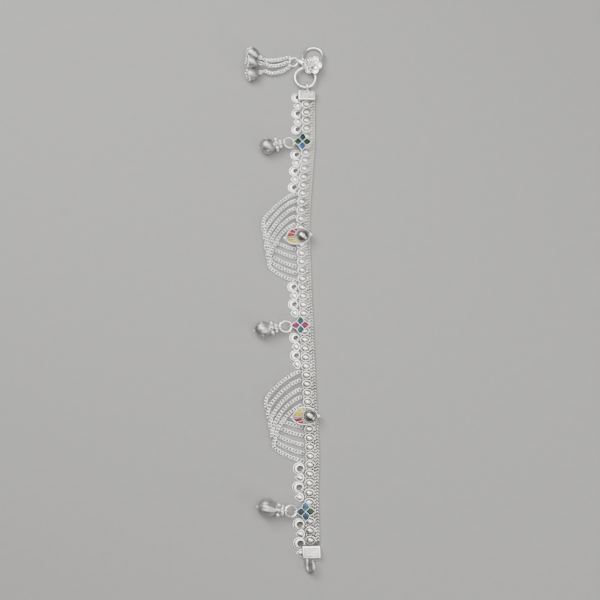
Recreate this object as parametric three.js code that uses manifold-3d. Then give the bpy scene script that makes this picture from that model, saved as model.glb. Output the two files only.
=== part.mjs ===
// Payal anklet in white silver, laid out straight: a woven band that carries a row of stamped studs,
// edge charms, enamelled stars with drop bells, enamelled mango motifs, draped curb chains,
// an end cap with its eye, rings and tassel, and an end cap with its hook.
// Millimetres, +Z up, +Y along the band towards the ring end, +X towards the band's woven edge.
import * as THREE from 'three';
import { mergeVertices } from 'three/addons/utils/BufferGeometryUtils.js';
import Module from 'manifold-3d';

const wasm = await Module();
wasm.setup();

// Driving dimensions
const clearance = 0.3;           // between pieces that touch
const unitPitch = 4.4;           // from one stud to the next
const bandUnits = 53.6;          // length over the two end caps, in stud pitches
const bandWidth = 7.0;
const bandThickness = 1.6;
const tongueWidth = 4.8;         // end of the weave that the cap is crimped on
const tongueThickness = 0.9;
const tongueLength = 3.0;
const studWidth = 4.7;
const studLength = 3.9;
const studHeight = 1.3;
const studInset = 4.6;           // stud centre from the woven edge
const railWidth = 1.8;           // strip that the studs are stamped on
const railThickness = 0.5;
const capWidth = 8.8;
const capHeight = 3.4;
const ringCapLength = 5.1;
const hookCapLength = 5.9;
const discDiameter = 5.1;        // round edge charm
const leafLength = 4.0;          // pointed edge charm
const leafWidth = 4.6;
const charmHeight = 1.5;
const lugDiameter = 1.6;         // ball that holds a round charm to the band's edge
const starSpan = 9.6;
const starThickness = 0.9;
const starInset = 6.5;           // star centre from the woven edge
const domeDiameter = 6.0;        // polished dome of a mango motif
const domeInset = 3.7;
const motifReach = 9.1;          // from the dome's centre to the leaf's tip
const motifThickness = 0.8;
const motifBall = 2.0;
const ringDiameter = 12.4;       // closing rings, over the wire
const ringWire = 1.6;
const eyeWire = 1.4;
const flowerDiameter = 10.6;
const flowerThickness = 2.2;
const tasselRingDiameter = 5.4;
const tasselRingWire = 0.7;
const linkWidth = 2.3;           // tassel chain link
const linkWire = 0.5;
const strandWidth = 1.5;         // tassel chain between its end links
const tasselBellDiameter = 6.2;
const tasselBellLength = 7.2;
const dropBellDiameter = 8.2;
const dropRingWidth = 6.2;
const dropRingWire = 0.8;
const crownBall = 2.0;
const hookWire = 2.4;
const hookReach = 7.2;           // from the cap to the bend of the hook
const hookGap = 1.7;             // between the hook's two strands
const swagWidth = 1.9;           // draped chain across
const swagThickness = 1.1;

// Route of the band's woven edge: share of the length from the ring end, sway to +X
const bandRoute = [
  [0, 2.0], [0.12, 1.8], [0.21, 0.35], [0.3, -0.9], [0.4, -0.3], [0.55, 1.0],
  [0.7, 2.6], [0.8, 3.6], [0.865, 3.1], [0.93, 3.4], [1, 3.95],
];

// Runs of edge charms: place of the first in stud pitches from the ring end, how many, and the size
// of a run's charms. Round and pointed charms take turns, and a round one comes first.
const charmRuns = [
  { first: 0.72, count: 5, size: 1 }, { first: 7.95, count: 5, size: 1 },
  { first: 23.55, count: 4, size: 1 }, { first: 29.4, count: 4, size: 1 },
  { first: 44.15, count: 4, size: 1.12 }, { first: 50.02, count: 4, size: 1.12 },
];

// Stars with their drops: place in stud pitches, turn of the drop, oval of the ring, neck of the bell
// and how much larger the bell is
const stars = [
  { name: 'ring_side', place: 6.5, turn: 10.5, ringLength: 6.0, neck: 3.4, swell: 1, petals: '#1f7a4a' },
  { name: 'middle', place: 28.05, turn: 8, ringLength: 6.8, neck: 3.2, swell: 1, petals: '#a02860' },
  { name: 'hook_side', place: 48.59, turn: -7, ringLength: 6.4, neck: 2.8, swell: 1.14, petals: '#1f5a38' },
];

const motifs = [
  { name: 'ring_side', place: 17.74, turn: 8 },
  { name: 'hook_side', place: 38.3, turn: 0 },
];

// Swags: places of the chain ends in stud pitches, upper ends and then lower ends, and the reach
// of the first and the last chain from the band's edge
const swags = [
  {
    name: 'ring_side', reach: [17.0, 14.0],
    upper: [12.65, 13.5, 14.4, 15.35, 16.25], lower: [19.12, 20.11, 21.18, 21.98, 22.85],
  },
  {
    name: 'hook_side', reach: [18.0, 14.8],
    upper: [33.21, 34.17, 35.2, 36.05, 37.0], lower: [39.43, 40.4, 41.45, 42.38, 43.3],
  },
];

// Route of the first and the last chain of a swag: share of the way down, share of the reach, layer
const swagRouteFirst = [
  [0, 0, 0.35], [0.07, 0.24, 1], [0.18, 0.5, 1], [0.36, 0.8, 1], [0.5, 0.97, 1.3],
  [0.63, 0.99, 0.5], [0.75, 0.88, 0], [0.86, 0.64, 0], [0.94, 0.34, 0], [1, 0, 0],
];
const swagRouteLast = [
  [0, 0, 0.35], [0.07, 0.24, 1], [0.18, 0.5, 1], [0.38, 0.77, 1], [0.58, 0.93, 1.3],
  [0.73, 0.99, 0.5], [0.82, 0.82, 0], [0.9, 0.56, 0], [0.96, 0.28, 0], [1, 0, 0],
];

// Tassel strands, from the middle of the tassel ring: the side each leaves by, the points its chain
// passes, the loop of its bell and the bell's middle
const strands = [
  {
    name: 'upper', leaves: 135, passes: [[-6.3, 1.9, 1.5], [-11.8, 1.0, 1.8]],
    loop: [-17.4, 2.3, 2.8], bell: [-22.0, 4.6, 3.4],
  },
  {
    name: 'middle', leaves: 180, passes: [[-6.3, -1.2, 1.6], [-11.8, -2.4, 2.6]],
    loop: [-17.2, -1.7, 4.8], bell: [-22.1, -1.4, 5.9],
  },
  {
    name: 'lower', leaves: 225, passes: [[-5.8, -4.7, 1.5], [-11.8, -6.1, 1.8]],
    loop: [-17.4, -5.9, 2.8], bell: [-22.1, -7.4, 3.4],
  },
];

// Worked out from the sizes above
const bandLength = unitPitch * bandUnits;
const studBase = bandThickness + clearance;
const studTop = studBase + studHeight;
const plateBase = studTop + clearance;
const edge = new THREE.CatmullRomCurve3(
  bandRoute.map(([share, sway]) => new THREE.Vector3(sway, -share * bandLength, 0)),
);

// A solid with shared vertices and no flat triangles, ready to be joined or cut
function solidOf(geometry) {
  const plain = geometry.clone();
  plain.deleteAttribute('normal');
  plain.deleteAttribute('uv');
  const merged = mergeVertices(plain, 1e-4);
  const corners = merged.index.array;
  const kept = [];
  for (let i = 0; i < corners.length; i += 3) {
    const [a, b, c] = [corners[i], corners[i + 1], corners[i + 2]];
    if (a !== b && b !== c && c !== a) {
      kept.push(a, b, c);
    }
  }
  const vertProperties = new Float32Array(merged.attributes.position.array);
  return new wasm.Manifold(new wasm.Mesh({ numProp: 3, vertProperties, triVerts: new Uint32Array(kept) }));
}

function geometryOf(solid) {
  const mesh = solid.getMesh();
  const geometry = new THREE.BufferGeometry();
  geometry.setAttribute('position', new THREE.BufferAttribute(new Float32Array(mesh.vertProperties), 3));
  geometry.setIndex(new THREE.BufferAttribute(new Uint32Array(mesh.triVerts), 1));
  return geometry;
}

function join(geometries) {
  return geometryOf(geometries.map(solidOf).reduce((whole, next) => whole.add(next)));
}

function cut(geometry, tools) {
  return geometryOf(tools.map(solidOf).reduce((whole, tool) => whole.subtract(tool), solidOf(geometry)));
}

// Shapes that the pieces share

function box(x0, x1, y0, y1, z0, z1) {
  return new THREE.BoxGeometry(x1 - x0, y1 - y0, z1 - z0)
    .translate((x0 + x1) / 2, (y0 + y1) / 2, (z0 + z1) / 2);
}

function turned(profile, sides) {
  return new THREE.LatheGeometry(profile.map(([r, h]) => new THREE.Vector2(r, h)), sides)
    .rotateX(Math.PI / 2);
}

// A ring lying flat, with the diameter over its wire
function flatRing(diameter, wire, sides = 16, wireSides = 6) {
  return new THREE.TorusGeometry((diameter - wire) / 2, wire / 2, wireSides, sides);
}

function ball(diameter, x, y, z) {
  return new THREE.OctahedronGeometry(diameter / 2, 0).rotateX(0.4).translate(x, y, z);
}

function plate(points, thickness, bevel = 0) {
  const shape = new THREE.Shape(points.map(([x, y]) => new THREE.Vector2(x, y)));
  return new THREE.ExtrudeGeometry(shape, {
    depth: thickness - 2 * bevel,
    bevelEnabled: bevel > 0,
    bevelThickness: bevel,
    bevelSize: bevel,
    bevelOffset: -bevel,
    bevelSegments: 1,
  }).translate(0, 0, bevel);
}

// An oval section swept along a route, across by high
function sweep(route, across, high, sides, steps) {
  const section = new THREE.Shape();
  for (let i = 0; i < sides; i += 1) {
    const angle = (2 * Math.PI * (i + 0.5)) / sides;
    const [x, y] = [Math.cos(angle) * high / 2, Math.sin(angle) * across / 2];
    if (i === 0) {
      section.moveTo(x, y);
    } else {
      section.lineTo(x, y);
    }
  }
  section.closePath();
  return new THREE.ExtrudeGeometry(section, { steps, extrudePath: route, bevelEnabled: false });
}

// A rectangular strip along the band, between two distances from its woven edge
function strip(from, to, inset, width, base, height, steps) {
  const points = [];
  for (let i = 0; i <= steps; i += 1) {
    const at = onBand(from + ((to - from) * i) / steps, inset);
    points.push(new THREE.Vector3(at.x, at.y, base + height / 2));
  }
  const half = new THREE.Vector2(height / 2, width / 2);
  const section = new THREE.Shape([
    new THREE.Vector2(-half.x, -half.y), new THREE.Vector2(half.x, -half.y),
    new THREE.Vector2(half.x, half.y), new THREE.Vector2(-half.x, half.y),
  ]);
  return new THREE.ExtrudeGeometry(section, {
    steps, extrudePath: new THREE.CatmullRomCurve3(points), bevelEnabled: false,
  });
}

// Point beside the band: along is from the ring end, inset is from the woven edge to -X
function onBand(along, inset) {
  const share = THREE.MathUtils.clamp(along / bandLength, 0, 1);
  const at = edge.getPointAt(share);
  const way = edge.getTangentAt(share);
  return { x: at.x + way.y * inset, y: at.y - way.x * inset, turn: Math.atan2(way.x, -way.y) };
}

function placeOnBand(object, along, inset, z, turn = 0) {
  const at = onBand(along, inset);
  object.position.set(at.x, at.y, z);
  object.rotation.z = at.turn + THREE.MathUtils.degToRad(turn);
  return object;
}

const anklet = new THREE.Group();

function piece(name, geometry, color, roughness = 0.35) {
  const material = new THREE.MeshStandardMaterial({ color, roughness, metalness: 1 });
  const mesh = new THREE.Mesh(geometry, material);
  mesh.name = name;
  anklet.add(mesh);
  return mesh;
}

const frosted = '#d8d6d0';
const polished = '#c9c9c8';
const oxidised = '#8c8c8c';

// Woven band, with a narrow tongue at each end inside its cap
function wovenBand() {
  const chamfer = bandThickness * 0.3;
  const steps = Math.round(bandUnits * 0.45);
  const points = [];
  for (let i = 0; i <= steps; i += 1) {
    const along = ringCapLength + clearance
      + ((bandLength - ringCapLength - hookCapLength - 2 * clearance) * i) / steps;
    const at = onBand(along, bandWidth / 2);
    points.push(new THREE.Vector3(at.x, at.y, bandThickness / 2));
  }
  const [high, wide] = [bandThickness / 2, bandWidth / 2];
  const section = new THREE.Shape([
    new THREE.Vector2(-high, -wide + chamfer), new THREE.Vector2(-high + chamfer, -wide),
    new THREE.Vector2(high - chamfer, -wide), new THREE.Vector2(high, -wide + chamfer),
    new THREE.Vector2(high, wide - chamfer), new THREE.Vector2(high - chamfer, wide),
    new THREE.Vector2(-high + chamfer, wide), new THREE.Vector2(-high, wide - chamfer),
  ]);
  const body = new THREE.ExtrudeGeometry(section, {
    steps, extrudePath: new THREE.CatmullRomCurve3(points), bevelEnabled: false,
  });
  const bite = 0.4;
  const tongue = box(
    -tongueWidth / 2, tongueWidth / 2, -tongueLength / 2, tongueLength / 2,
    (bandThickness - tongueThickness) / 2, (bandThickness + tongueThickness) / 2,
  );
  const ends = [ringCapLength + clearance + bite - tongueLength / 2,
    bandLength - hookCapLength - clearance - bite + tongueLength / 2];
  const tongues = ends.map((along) => {
    const at = onBand(along, bandWidth / 2);
    return tongue.clone().rotateZ(at.turn).translate(at.x, at.y, 0);
  });
  piece('woven_band', join([body, ...tongues]), frosted, 0.4);
}

// Stamped studs on their rail, one solid along the band
function studRow() {
  const profile = [[0, 0], [1, 0], [0.86, 0.7], [0, 1]];
  const stud = turned(profile, 8).scale(studWidth / 2, studLength / 2, studHeight);
  const first = ringCapLength + clearance + studLength / 2;
  const last = bandLength - hookCapLength - clearance - studLength / 2;
  const count = Math.floor((last - first) / unitPitch) + 1;
  const parts = [strip(
    ringCapLength + clearance, bandLength - hookCapLength - clearance,
    studInset, railWidth, studBase, railThickness, Math.round(bandUnits * 0.45),
  )];
  for (let i = 0; i < count; i += 1) {
    const along = first + i * unitPitch;
    const covered = motifs.some((motif) => Math.abs(motif.place * unitPitch - along) < domeDiameter * 0.3);
    if (!covered) {
      const at = onBand(along, studInset);
      parts.push(stud.clone().rotateZ(at.turn).translate(at.x, at.y, studBase));
    }
  }
  piece('stud_row', join(parts), frosted, 0.3);
}

// Middle of a charm of this length beside the band, from the woven edge
function besideBand(length) {
  return bandWidth + clearance + length / 2;
}

// Round charm: a grooved dome with an off-centre hollow, and the ball that holds it to the band
function discCharm(diameter) {
  const r = diameter / 2;
  const profile = [[0, 0], [r, 0], [r * 0.94, charmHeight * 0.6], [r * 0.66, charmHeight], [0, charmHeight]];
  const hollow = turned([[0, 0], [r * 0.3, 0], [r * 0.52, charmHeight], [0, charmHeight]], 6)
    .translate(r * 0.4, r * 0.1, charmHeight * 0.45);
  const lug = new THREE.IcosahedronGeometry(lugDiameter / 2, 0).rotateZ(0.3)
    .translate(r - lugDiameter / 2, -r * 0.4, lugDiameter * 0.6);
  return join([cut(turned(profile, 10), [hollow]), lug]);
}

// Pointed charm: a leaf with a raised outline, its tip to -X, clear of the round ones beside it
function leafCharm(length, diameter) {
  const outline = [[1, 0.4], [0.84, 0.94], [0.58, 1], [0, 0], [0.58, -1], [0.84, -0.94], [1, -0.4]];
  const shrink = 0.5;
  const at = (scale, shift) => outline.map(([x, y]) => [
    (x - 0.5) * length * scale + shift, (y * leafWidth * scale) / 2,
  ]).reverse();
  const body = plate(at(1, 0), charmHeight * 0.8, charmHeight * 0.25);
  const recess = plate(at(shrink, length * 0.04), charmHeight).translate(0, 0, charmHeight * 0.5);
  const room = diameter / 2 + clearance;
  const neighbour = turned([[0, -1], [room, -1], [room, charmHeight + 1], [0, charmHeight + 1]], 12);
  const aside = (length - diameter) / 2;
  return cut(body, [recess, neighbour.clone().translate(aside, unitPitch, 0),
    neighbour.clone().translate(aside, -unitPitch, 0)]);
}

// Room that an end cap needs beside it, in a charm's own frame
function capRoom(inset, fromCharm, toCharm) {
  return box(inset - capWidth - clearance, inset + 1, fromCharm, toCharm, -1, charmHeight + 1);
}

function edgeCharms() {
  let number = 0;
  for (const run of charmRuns) {
    const disc = discDiameter * run.size;
    const leaf = leafLength * run.size;
    const shapes = [
      { kind: 'round', geometry: discCharm(disc), inset: besideBand(disc), half: disc / 2 },
      { kind: 'pointed', geometry: leafCharm(leaf, disc), inset: besideBand(leaf), half: leafWidth / 2 },
    ];
    for (let i = 0; i < run.count; i += 1) {
      const shape = shapes[i % 2];
      const along = (run.first + i) * unitPitch;
      const toRingCap = ringCapLength + clearance - along;
      const toHookCap = bandLength - hookCapLength - clearance - along;
      const rooms = [];
      if (toRingCap > -shape.half) {
        rooms.push(capRoom(shape.inset, -toRingCap, shape.half + 1));
      }
      if (toHookCap < shape.half) {
        rooms.push(capRoom(shape.inset, -shape.half - 1, -toHookCap));
      }
      number += 1;
      const name = `edge_charm_${String(number).padStart(2, '0')}_${shape.kind}`;
      const geometry = rooms.length > 0 ? cut(shape.geometry, rooms) : shape.geometry;
      placeOnBand(piece(name, geometry, frosted), along, shape.inset, 0);
    }
  }
}

// Four-pointed star: silver tray with a rim, four raised petals, and the loop behind its left tip
function starGeometry() {
  const tip = starSpan / 2;
  const waist = tip * 0.6;
  const bow = 0.98;
  const star = (scale) => {
    const points = [];
    for (let i = 0; i < 4; i += 1) {
      const angle = (i * Math.PI) / 2;
      const polar = (r, a) => [Math.cos(a) * r * scale, Math.sin(a) * r * scale];
      points.push(polar(tip, angle));
      points.push(polar((tip + waist) / 2 * bow, angle + Math.PI * 0.1));
      points.push(polar(waist, angle + Math.PI / 4));
      points.push(polar((tip + waist) / 2 * bow, angle + Math.PI * 0.4));
    }
    return points;
  };
  const rim = 0.3;
  const tray = cut(plate(star(1), starThickness + rim), [
    plate(star(0.86), starThickness).translate(0, 0, starThickness),
  ]);
  const petals = [];
  for (let i = 0; i < 4; i += 1) {
    const angle = (i * Math.PI) / 2;
    const petal = new THREE.ConeGeometry(tip * 0.42, 0.55, 4).rotateX(Math.PI / 2)
      .scale(1, 0.62, 1).translate(tip * 0.44, 0, starThickness + 0.2).rotateZ(angle);
    petals.push(petal);
  }
  const hole = dropRingWire / 2 + clearance;
  const loopWire = 0.7;
  const loop = flatRing(2 * (hole + loopWire), loopWire, 10, 5).rotateX(Math.PI / 2)
    .translate(-tip + loopWire / 2, 0, -hole + loopWire * 0.2);
  return {
    geometry: join([tray, ...petals, loop]), loopX: -tip + loopWire / 2, loopZ: -hole + loopWire * 0.2,
  };
}

// Drop bell along -X from its loop at the origin: loop, crown of balls, ribbed body and its tip
function dropBell(neck, diameter) {
  const r = diameter / 2;
  const hole = dropRingWire / 2 + clearance;
  const loopWire = 0.7;
  const loop = flatRing(2 * (hole + loopWire), loopWire, 10, 5).rotateX(Math.PI / 2);
  const centre = -(hole + loopWire + neck + r);
  const profile = [[0, -1.1], [0.5, -0.86], [0.88, -0.48], [1, 0], [0.86, 0.5], [0.64, 0.8],
    [0.6, 1.28], [0.36, 1.42], [0.36, 1.62], [0.2, 1.72], [0.2, 1.05 + neck / r], [0, 1.05 + neck / r]];
  const body = turned(profile.map(([x, y]) => [x * r, y * r]), 10).rotateY(Math.PI / 2)
    .translate(centre, 0, 0);
  const parts = [body, loop];
  const balls = 6;
  for (let i = 0; i < balls; i += 1) {
    const angle = ((i + 0.5) * 2 * Math.PI) / balls;
    const around = (radius, x, size) => ball(size, x, Math.cos(angle) * radius, Math.sin(angle) * radius);
    parts.push(around(crownBall * 1.4, centre + r + crownBall * 0.4, crownBall));
    parts.push(around(crownBall * 0.85, centre + r + crownBall * 1.4, crownBall * 0.9));
  }
  return join(parts);
}

function starsAndDrops() {
  const star = starGeometry();
  for (const row of stars) {
    const along = row.place * unitPitch;
    const mesh = piece(`star_charm_${row.name}`, star.geometry, row.petals, 0.2);
    placeOnBand(mesh, along, starInset, plateBase);

    const drop = new THREE.Group();
    anklet.add(drop);
    const at = onBand(along, starInset);
    const loopHeight = plateBase + star.loopZ;
    drop.position.set(
      at.x + Math.cos(at.turn) * star.loopX, at.y + Math.sin(at.turn) * star.loopX, loopHeight,
    );
    drop.rotation.z = THREE.MathUtils.degToRad(row.turn);

    const long = (row.ringLength - dropRingWire) / 2;
    const wide = (dropRingWidth - dropRingWire) / 2;
    const bellDiameter = dropBellDiameter * row.swell;
    const rise = Math.asin((bellDiameter / 2 - loopHeight) / (2 * long));
    const ringGeometry = new THREE.TorusGeometry(wide, dropRingWire / 2, 6, 12)
      .scale(long / wide, 1, 1).rotateY(rise)
      .translate(-long * Math.cos(rise), 0, long * Math.sin(rise));
    drop.add(piece(`drop_ring_${row.name}`, ringGeometry, polished, 0.15));
    const bell = piece(`drop_bell_${row.name}`, dropBell(row.neck, bellDiameter), oxidised, 0.2);
    bell.position.set(-2 * long * Math.cos(rise), 0, bellDiameter / 2 - loopHeight);
    drop.add(bell);
  }
}

// Mango motif: a leaf-shaped tray with raised cell walls, a collared dome and two balls
function mangoMotif() {
  const r = domeDiameter / 2;
  const collar = r * 1.3;
  const leaf = [[0.18, 0.98], [-0.2, 1.2], [-0.52, 1.22], [-0.78, 0.86], [-1, 0], [-0.84, -0.62],
    [-0.52, -0.98], [-0.1, -1.08], [0.2, -0.9]].map(([x, y]) => [x * motifReach, y * motifReach * 0.42]);
  const outline = leaf.slice().reverse();
  const tray = plate(outline, motifThickness);
  const shrunk = outline.map(([x, y]) => [x * 0.88 - motifReach * 0.04, y * 0.84]);
  const wallHeight = motifThickness * 0.5;
  const frame = cut(plate(outline, motifThickness + wallHeight), [
    plate(shrunk, motifThickness + 1).translate(0, 0, motifThickness * 0.6),
  ]);
  const stem = box(-motifReach * 0.94, 0, -0.3, 0.3, 0, motifThickness + wallHeight);
  const ribs = [[-0.62, 62], [-0.4, -58], [-0.66, -70]].map(([x, angle]) => box(
    0, motifReach * 0.34, -0.2, 0.2, 0, motifThickness + wallHeight,
  ).rotateZ(THREE.MathUtils.degToRad(angle)).translate(x * motifReach, 0, 0));
  const dome = turned([[0, 0], [collar, 0], [collar, motifThickness + 0.5], [r, motifThickness + 0.7],
    [r * 0.85, motifThickness + 1.7], [r * 0.5, motifThickness + 2.5], [0, motifThickness + 2.7]], 12);
  const tipBall = new THREE.IcosahedronGeometry(motifBall / 2, 0).translate(-motifReach, 0, motifBall / 2);
  const sideBall = new THREE.IcosahedronGeometry(motifBall / 2, 0)
    .translate(collar + motifBall * 0.15, 0, motifBall / 2);
  return join([tray, frame, stem, ...ribs, dome, tipBall, sideBall]);
}

function mangoMotifs() {
  const geometry = mangoMotif();
  for (const row of motifs) {
    const mesh = piece(`mango_motif_${row.name}`, geometry, polished, 0.15);
    placeOnBand(mesh, row.place * unitPitch, domeInset, plateBase, row.turn);
  }
}

// Draped chains: each leaves the band's edge, runs over the chains before it and back under the next
function swagChains() {
  const layerRise = swagThickness + 1.7 * clearance;
  const swagLift = clearance / 2;
  const inset = bandWidth + 2 * clearance;
  for (const swag of swags) {
    const count = swag.upper.length;
    for (let i = 0; i < count; i += 1) {
      const share = i / (count - 1);
      const from = onBand(swag.upper[i] * unitPitch, inset);
      const to = onBand(swag.lower[i] * unitPitch, inset);
      const reach = THREE.MathUtils.lerp(swag.reach[0], swag.reach[1], share);
      const points = swagRouteFirst.map((row, k) => {
        const [down, out, layer] = row.map(
          (value, j) => THREE.MathUtils.lerp(value, swagRouteLast[k][j], share),
        );
        return new THREE.Vector3(
          THREE.MathUtils.lerp(from.x, to.x, down) - reach * out,
          THREE.MathUtils.lerp(from.y, to.y, down),
          swagThickness / 2 + swagLift + layer * layerRise,
        );
      });
      const route = new THREE.CatmullRomCurve3(points);
      const steps = Math.round(route.getLength() / (2.3 * swagWidth));
      const tube = sweep(route, swagWidth, swagThickness, 8, steps);
      piece(`swag_chain_${swag.name}_${i + 1}`, tube, polished, 0.25);
    }
  }
}

// End caps: a box with a pocket for the band's tongue
function capBody(length) {
  const bevel = 0.35;
  const block = plate([[-capWidth, 0], [0, 0], [0, length], [-capWidth, length]], capHeight, bevel);
  const frameWidth = 0.9;
  const frameDepth = 0.25;
  const panel = box(
    -capWidth + frameWidth, -frameWidth, frameWidth, length - frameWidth,
    capHeight - frameDepth, capHeight + 1,
  );
  return cut(block, [panel]);
}

function pocket(yFrom, yTo) {
  const low = (bandThickness - tongueThickness) / 2 - clearance;
  return box(
    -bandWidth / 2 - tongueWidth / 2 - clearance, -bandWidth / 2 + tongueWidth / 2 + clearance,
    yFrom, yTo, low, low + tongueThickness + 2 * clearance,
  );
}

const eyeHole = ringWire / 2 + clearance;
const eyeOuter = eyeHole + eyeWire;
const ringRadius = (ringDiameter - ringWire) / 2;
const ringEnd = onBand(0, 0);
const eyeAt = new THREE.Vector3(-4.1, eyeOuter - 0.4, eyeOuter);

function ringEndCap() {
  const body = capBody(ringCapLength).translate(0, -ringCapLength, 0);
  const room = pocket(-ringCapLength - 1, -ringCapLength + tongueLength + clearance);
  const eye = flatRing(2 * eyeOuter, eyeWire, 14, 6).rotateY(Math.PI / 2)
    .translate(eyeAt.x, eyeAt.y, eyeAt.z);
  const mesh = piece('ring_end_cap', join([cut(body, [room]), eye]), frosted, 0.4);
  mesh.position.set(ringEnd.x, ringEnd.y, 0);
  mesh.rotation.z = ringEnd.turn;
}

function hookEndCap() {
  const body = capBody(hookCapLength);
  const room = pocket(hookCapLength - tongueLength - clearance, hookCapLength + 1);
  const r = hookWire / 2;
  const apart = (hookWire + hookGap) * Math.SQRT1_2;
  const low = new THREE.Vector2(-capWidth * 0.75, r + 0.1);
  const high = new THREE.Vector2(low.x + apart, low.y + apart);
  const middle = low.clone().add(high).multiplyScalar(0.5);
  const bend = (hookWire + hookGap) / 2;
  const straight = hookReach - r - bend;
  const route = new THREE.CatmullRomCurve3([
    new THREE.Vector3(low.x, 0.6, low.y),
    new THREE.Vector3(low.x, -straight * 0.5, low.y),
    new THREE.Vector3(low.x, -straight, low.y),
    new THREE.Vector3(THREE.MathUtils.lerp(low.x, middle.x, 0.3), -straight - bend * 0.71,
      THREE.MathUtils.lerp(low.y, middle.y, 0.3)),
    new THREE.Vector3(middle.x, -straight - bend, middle.y),
    new THREE.Vector3(THREE.MathUtils.lerp(middle.x, high.x, 0.7), -straight - bend * 0.71,
      THREE.MathUtils.lerp(middle.y, high.y, 0.7)),
    new THREE.Vector3(high.x, -straight, high.y),
    new THREE.Vector3(high.x, -straight * 0.5, high.y),
    new THREE.Vector3(high.x, -r - 2 * clearance, high.y),
  ]);
  const wire = sweep(route, hookWire, hookWire, 8, 14);
  const end = new THREE.IcosahedronGeometry(r * 1.05, 0).translate(high.x, -r - 2 * clearance, high.y);
  const foot = onBand(bandLength, 0);
  const mesh = piece('hook_end_cap', join([cut(body, [room]), wire, end]), frosted, 0.4);
  mesh.position.set(foot.x, foot.y, 0);
  mesh.rotation.z = foot.turn;
}

// Ring clasp: the first ring is held by the cap's eye and by a lug behind the flower,
// and the second ring and the tassel's loop are soldered to the flower
const firstRingAt = new THREE.Vector3(
  ringEnd.x + eyeAt.x + ringRadius * Math.cos(THREE.MathUtils.degToRad(101)),
  ringEnd.y + eyeAt.y + ringRadius * Math.sin(THREE.MathUtils.degToRad(101)),
  eyeAt.z,
);
const lugAngle = THREE.MathUtils.degToRad(62);
const lugAt = new THREE.Vector3(
  firstRingAt.x + ringRadius * Math.cos(lugAngle),
  firstRingAt.y + ringRadius * Math.sin(lugAngle),
  firstRingAt.z,
);
const flowerAt = new THREE.Vector3(lugAt.x + 0.9, lugAt.y + 1.15, firstRingAt.z + ringWire / 2 + clearance);
const secondRingAt = new THREE.Vector2(flowerAt.x + 0.5, lugAt.y + 1.7 + ringDiameter / 2 - ringWire / 2);
const tasselLoopAt = new THREE.Vector3(flowerAt.x - 7.5, flowerAt.y + 2.7, flowerAt.z - 0.7);
const tasselRadius = (tasselRingDiameter - tasselRingWire) / 2;
const tasselTilt = Math.asin((tasselLoopAt.z - 1.4) / (2 * tasselRadius));
const tasselRingAt = new THREE.Vector3(
  tasselLoopAt.x - tasselRadius * Math.cos(tasselTilt), tasselLoopAt.y,
  tasselLoopAt.z - tasselRadius * Math.sin(tasselTilt),
);

function claspRings() {
  const first = flatRing(ringDiameter, ringWire, 18, 6)
    .translate(firstRingAt.x, firstRingAt.y, firstRingAt.z);
  piece('first_ring', first, polished, 0.12);
  const tasselRing = flatRing(tasselRingDiameter, tasselRingWire, 14, 6).rotateY(-tasselTilt)
    .translate(tasselRingAt.x, tasselRingAt.y, tasselRingAt.z);
  piece('tassel_ring', tasselRing, polished, 0.15);
}

function flowerAndSecondRing() {
  const nearHeight = flowerAt.z - ringWire * 0.3;
  const tilt = Math.asin((nearHeight - ringWire / 2) / (2 * ringRadius));
  const ring = flatRing(ringDiameter, ringWire, 18, 6).rotateX(-tilt)
    .translate(secondRingAt.x, secondRingAt.y, ringWire / 2 + ringRadius * Math.sin(tilt));
  const scalloped = (diameter, petals, depth, points) => {
    const outline = [];
    for (let i = 0; i < points; i += 1) {
      const angle = (2 * Math.PI * i) / points;
      const radius = (diameter / 2) * (1 - depth + depth * Math.abs(Math.cos((petals * angle) / 2)));
      outline.push([radius * Math.cos(angle), radius * Math.sin(angle)]);
    }
    return outline;
  };
  const tiers = [
    plate(scalloped(flowerDiameter, 6, 0.16, 18), flowerThickness * 0.55, 0.4),
    plate(scalloped(flowerDiameter * 0.68, 5, 0.14, 15), flowerThickness * 0.35)
      .translate(0, 0, flowerThickness * 0.45),
    plate(scalloped(flowerDiameter * 0.36, 3, 0.1, 9), flowerThickness * 0.35)
      .translate(0, 0, flowerThickness * 0.68),
  ].map((tier) => tier.translate(flowerAt.x, flowerAt.y, flowerAt.z));
  const lugWire = 0.9;
  const lug = flatRing(2 * (eyeHole + lugWire), lugWire, 14, 6).rotateX(Math.PI / 2).rotateZ(lugAngle)
    .translate(lugAt.x, lugAt.y, lugAt.z);
  const armHeight = 1.0;
  const armOutline = [[0, -2], [0, 2], [-6.2, 1.1], [-7.9, 0.7], [-7.9, -0.7], [-6.2, -1.1]].reverse();
  const arm = plate(armOutline, armHeight, 0.2)
    .rotateZ(Math.atan2(tasselLoopAt.y - flowerAt.y, tasselLoopAt.x - flowerAt.x) - Math.PI)
    .translate(flowerAt.x, flowerAt.y, flowerAt.z);
  const hole = tasselRingWire / 2 + clearance;
  const loopWire = 0.8;
  const loop = flatRing(2 * (hole + loopWire), loopWire, 12, 6).rotateX(Math.PI / 2)
    .translate(tasselLoopAt.x, tasselLoopAt.y, tasselLoopAt.z);
  piece('second_ring_with_flower', join([ring, ...tiers, lug, arm, loop]), frosted, 0.4);
}

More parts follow.
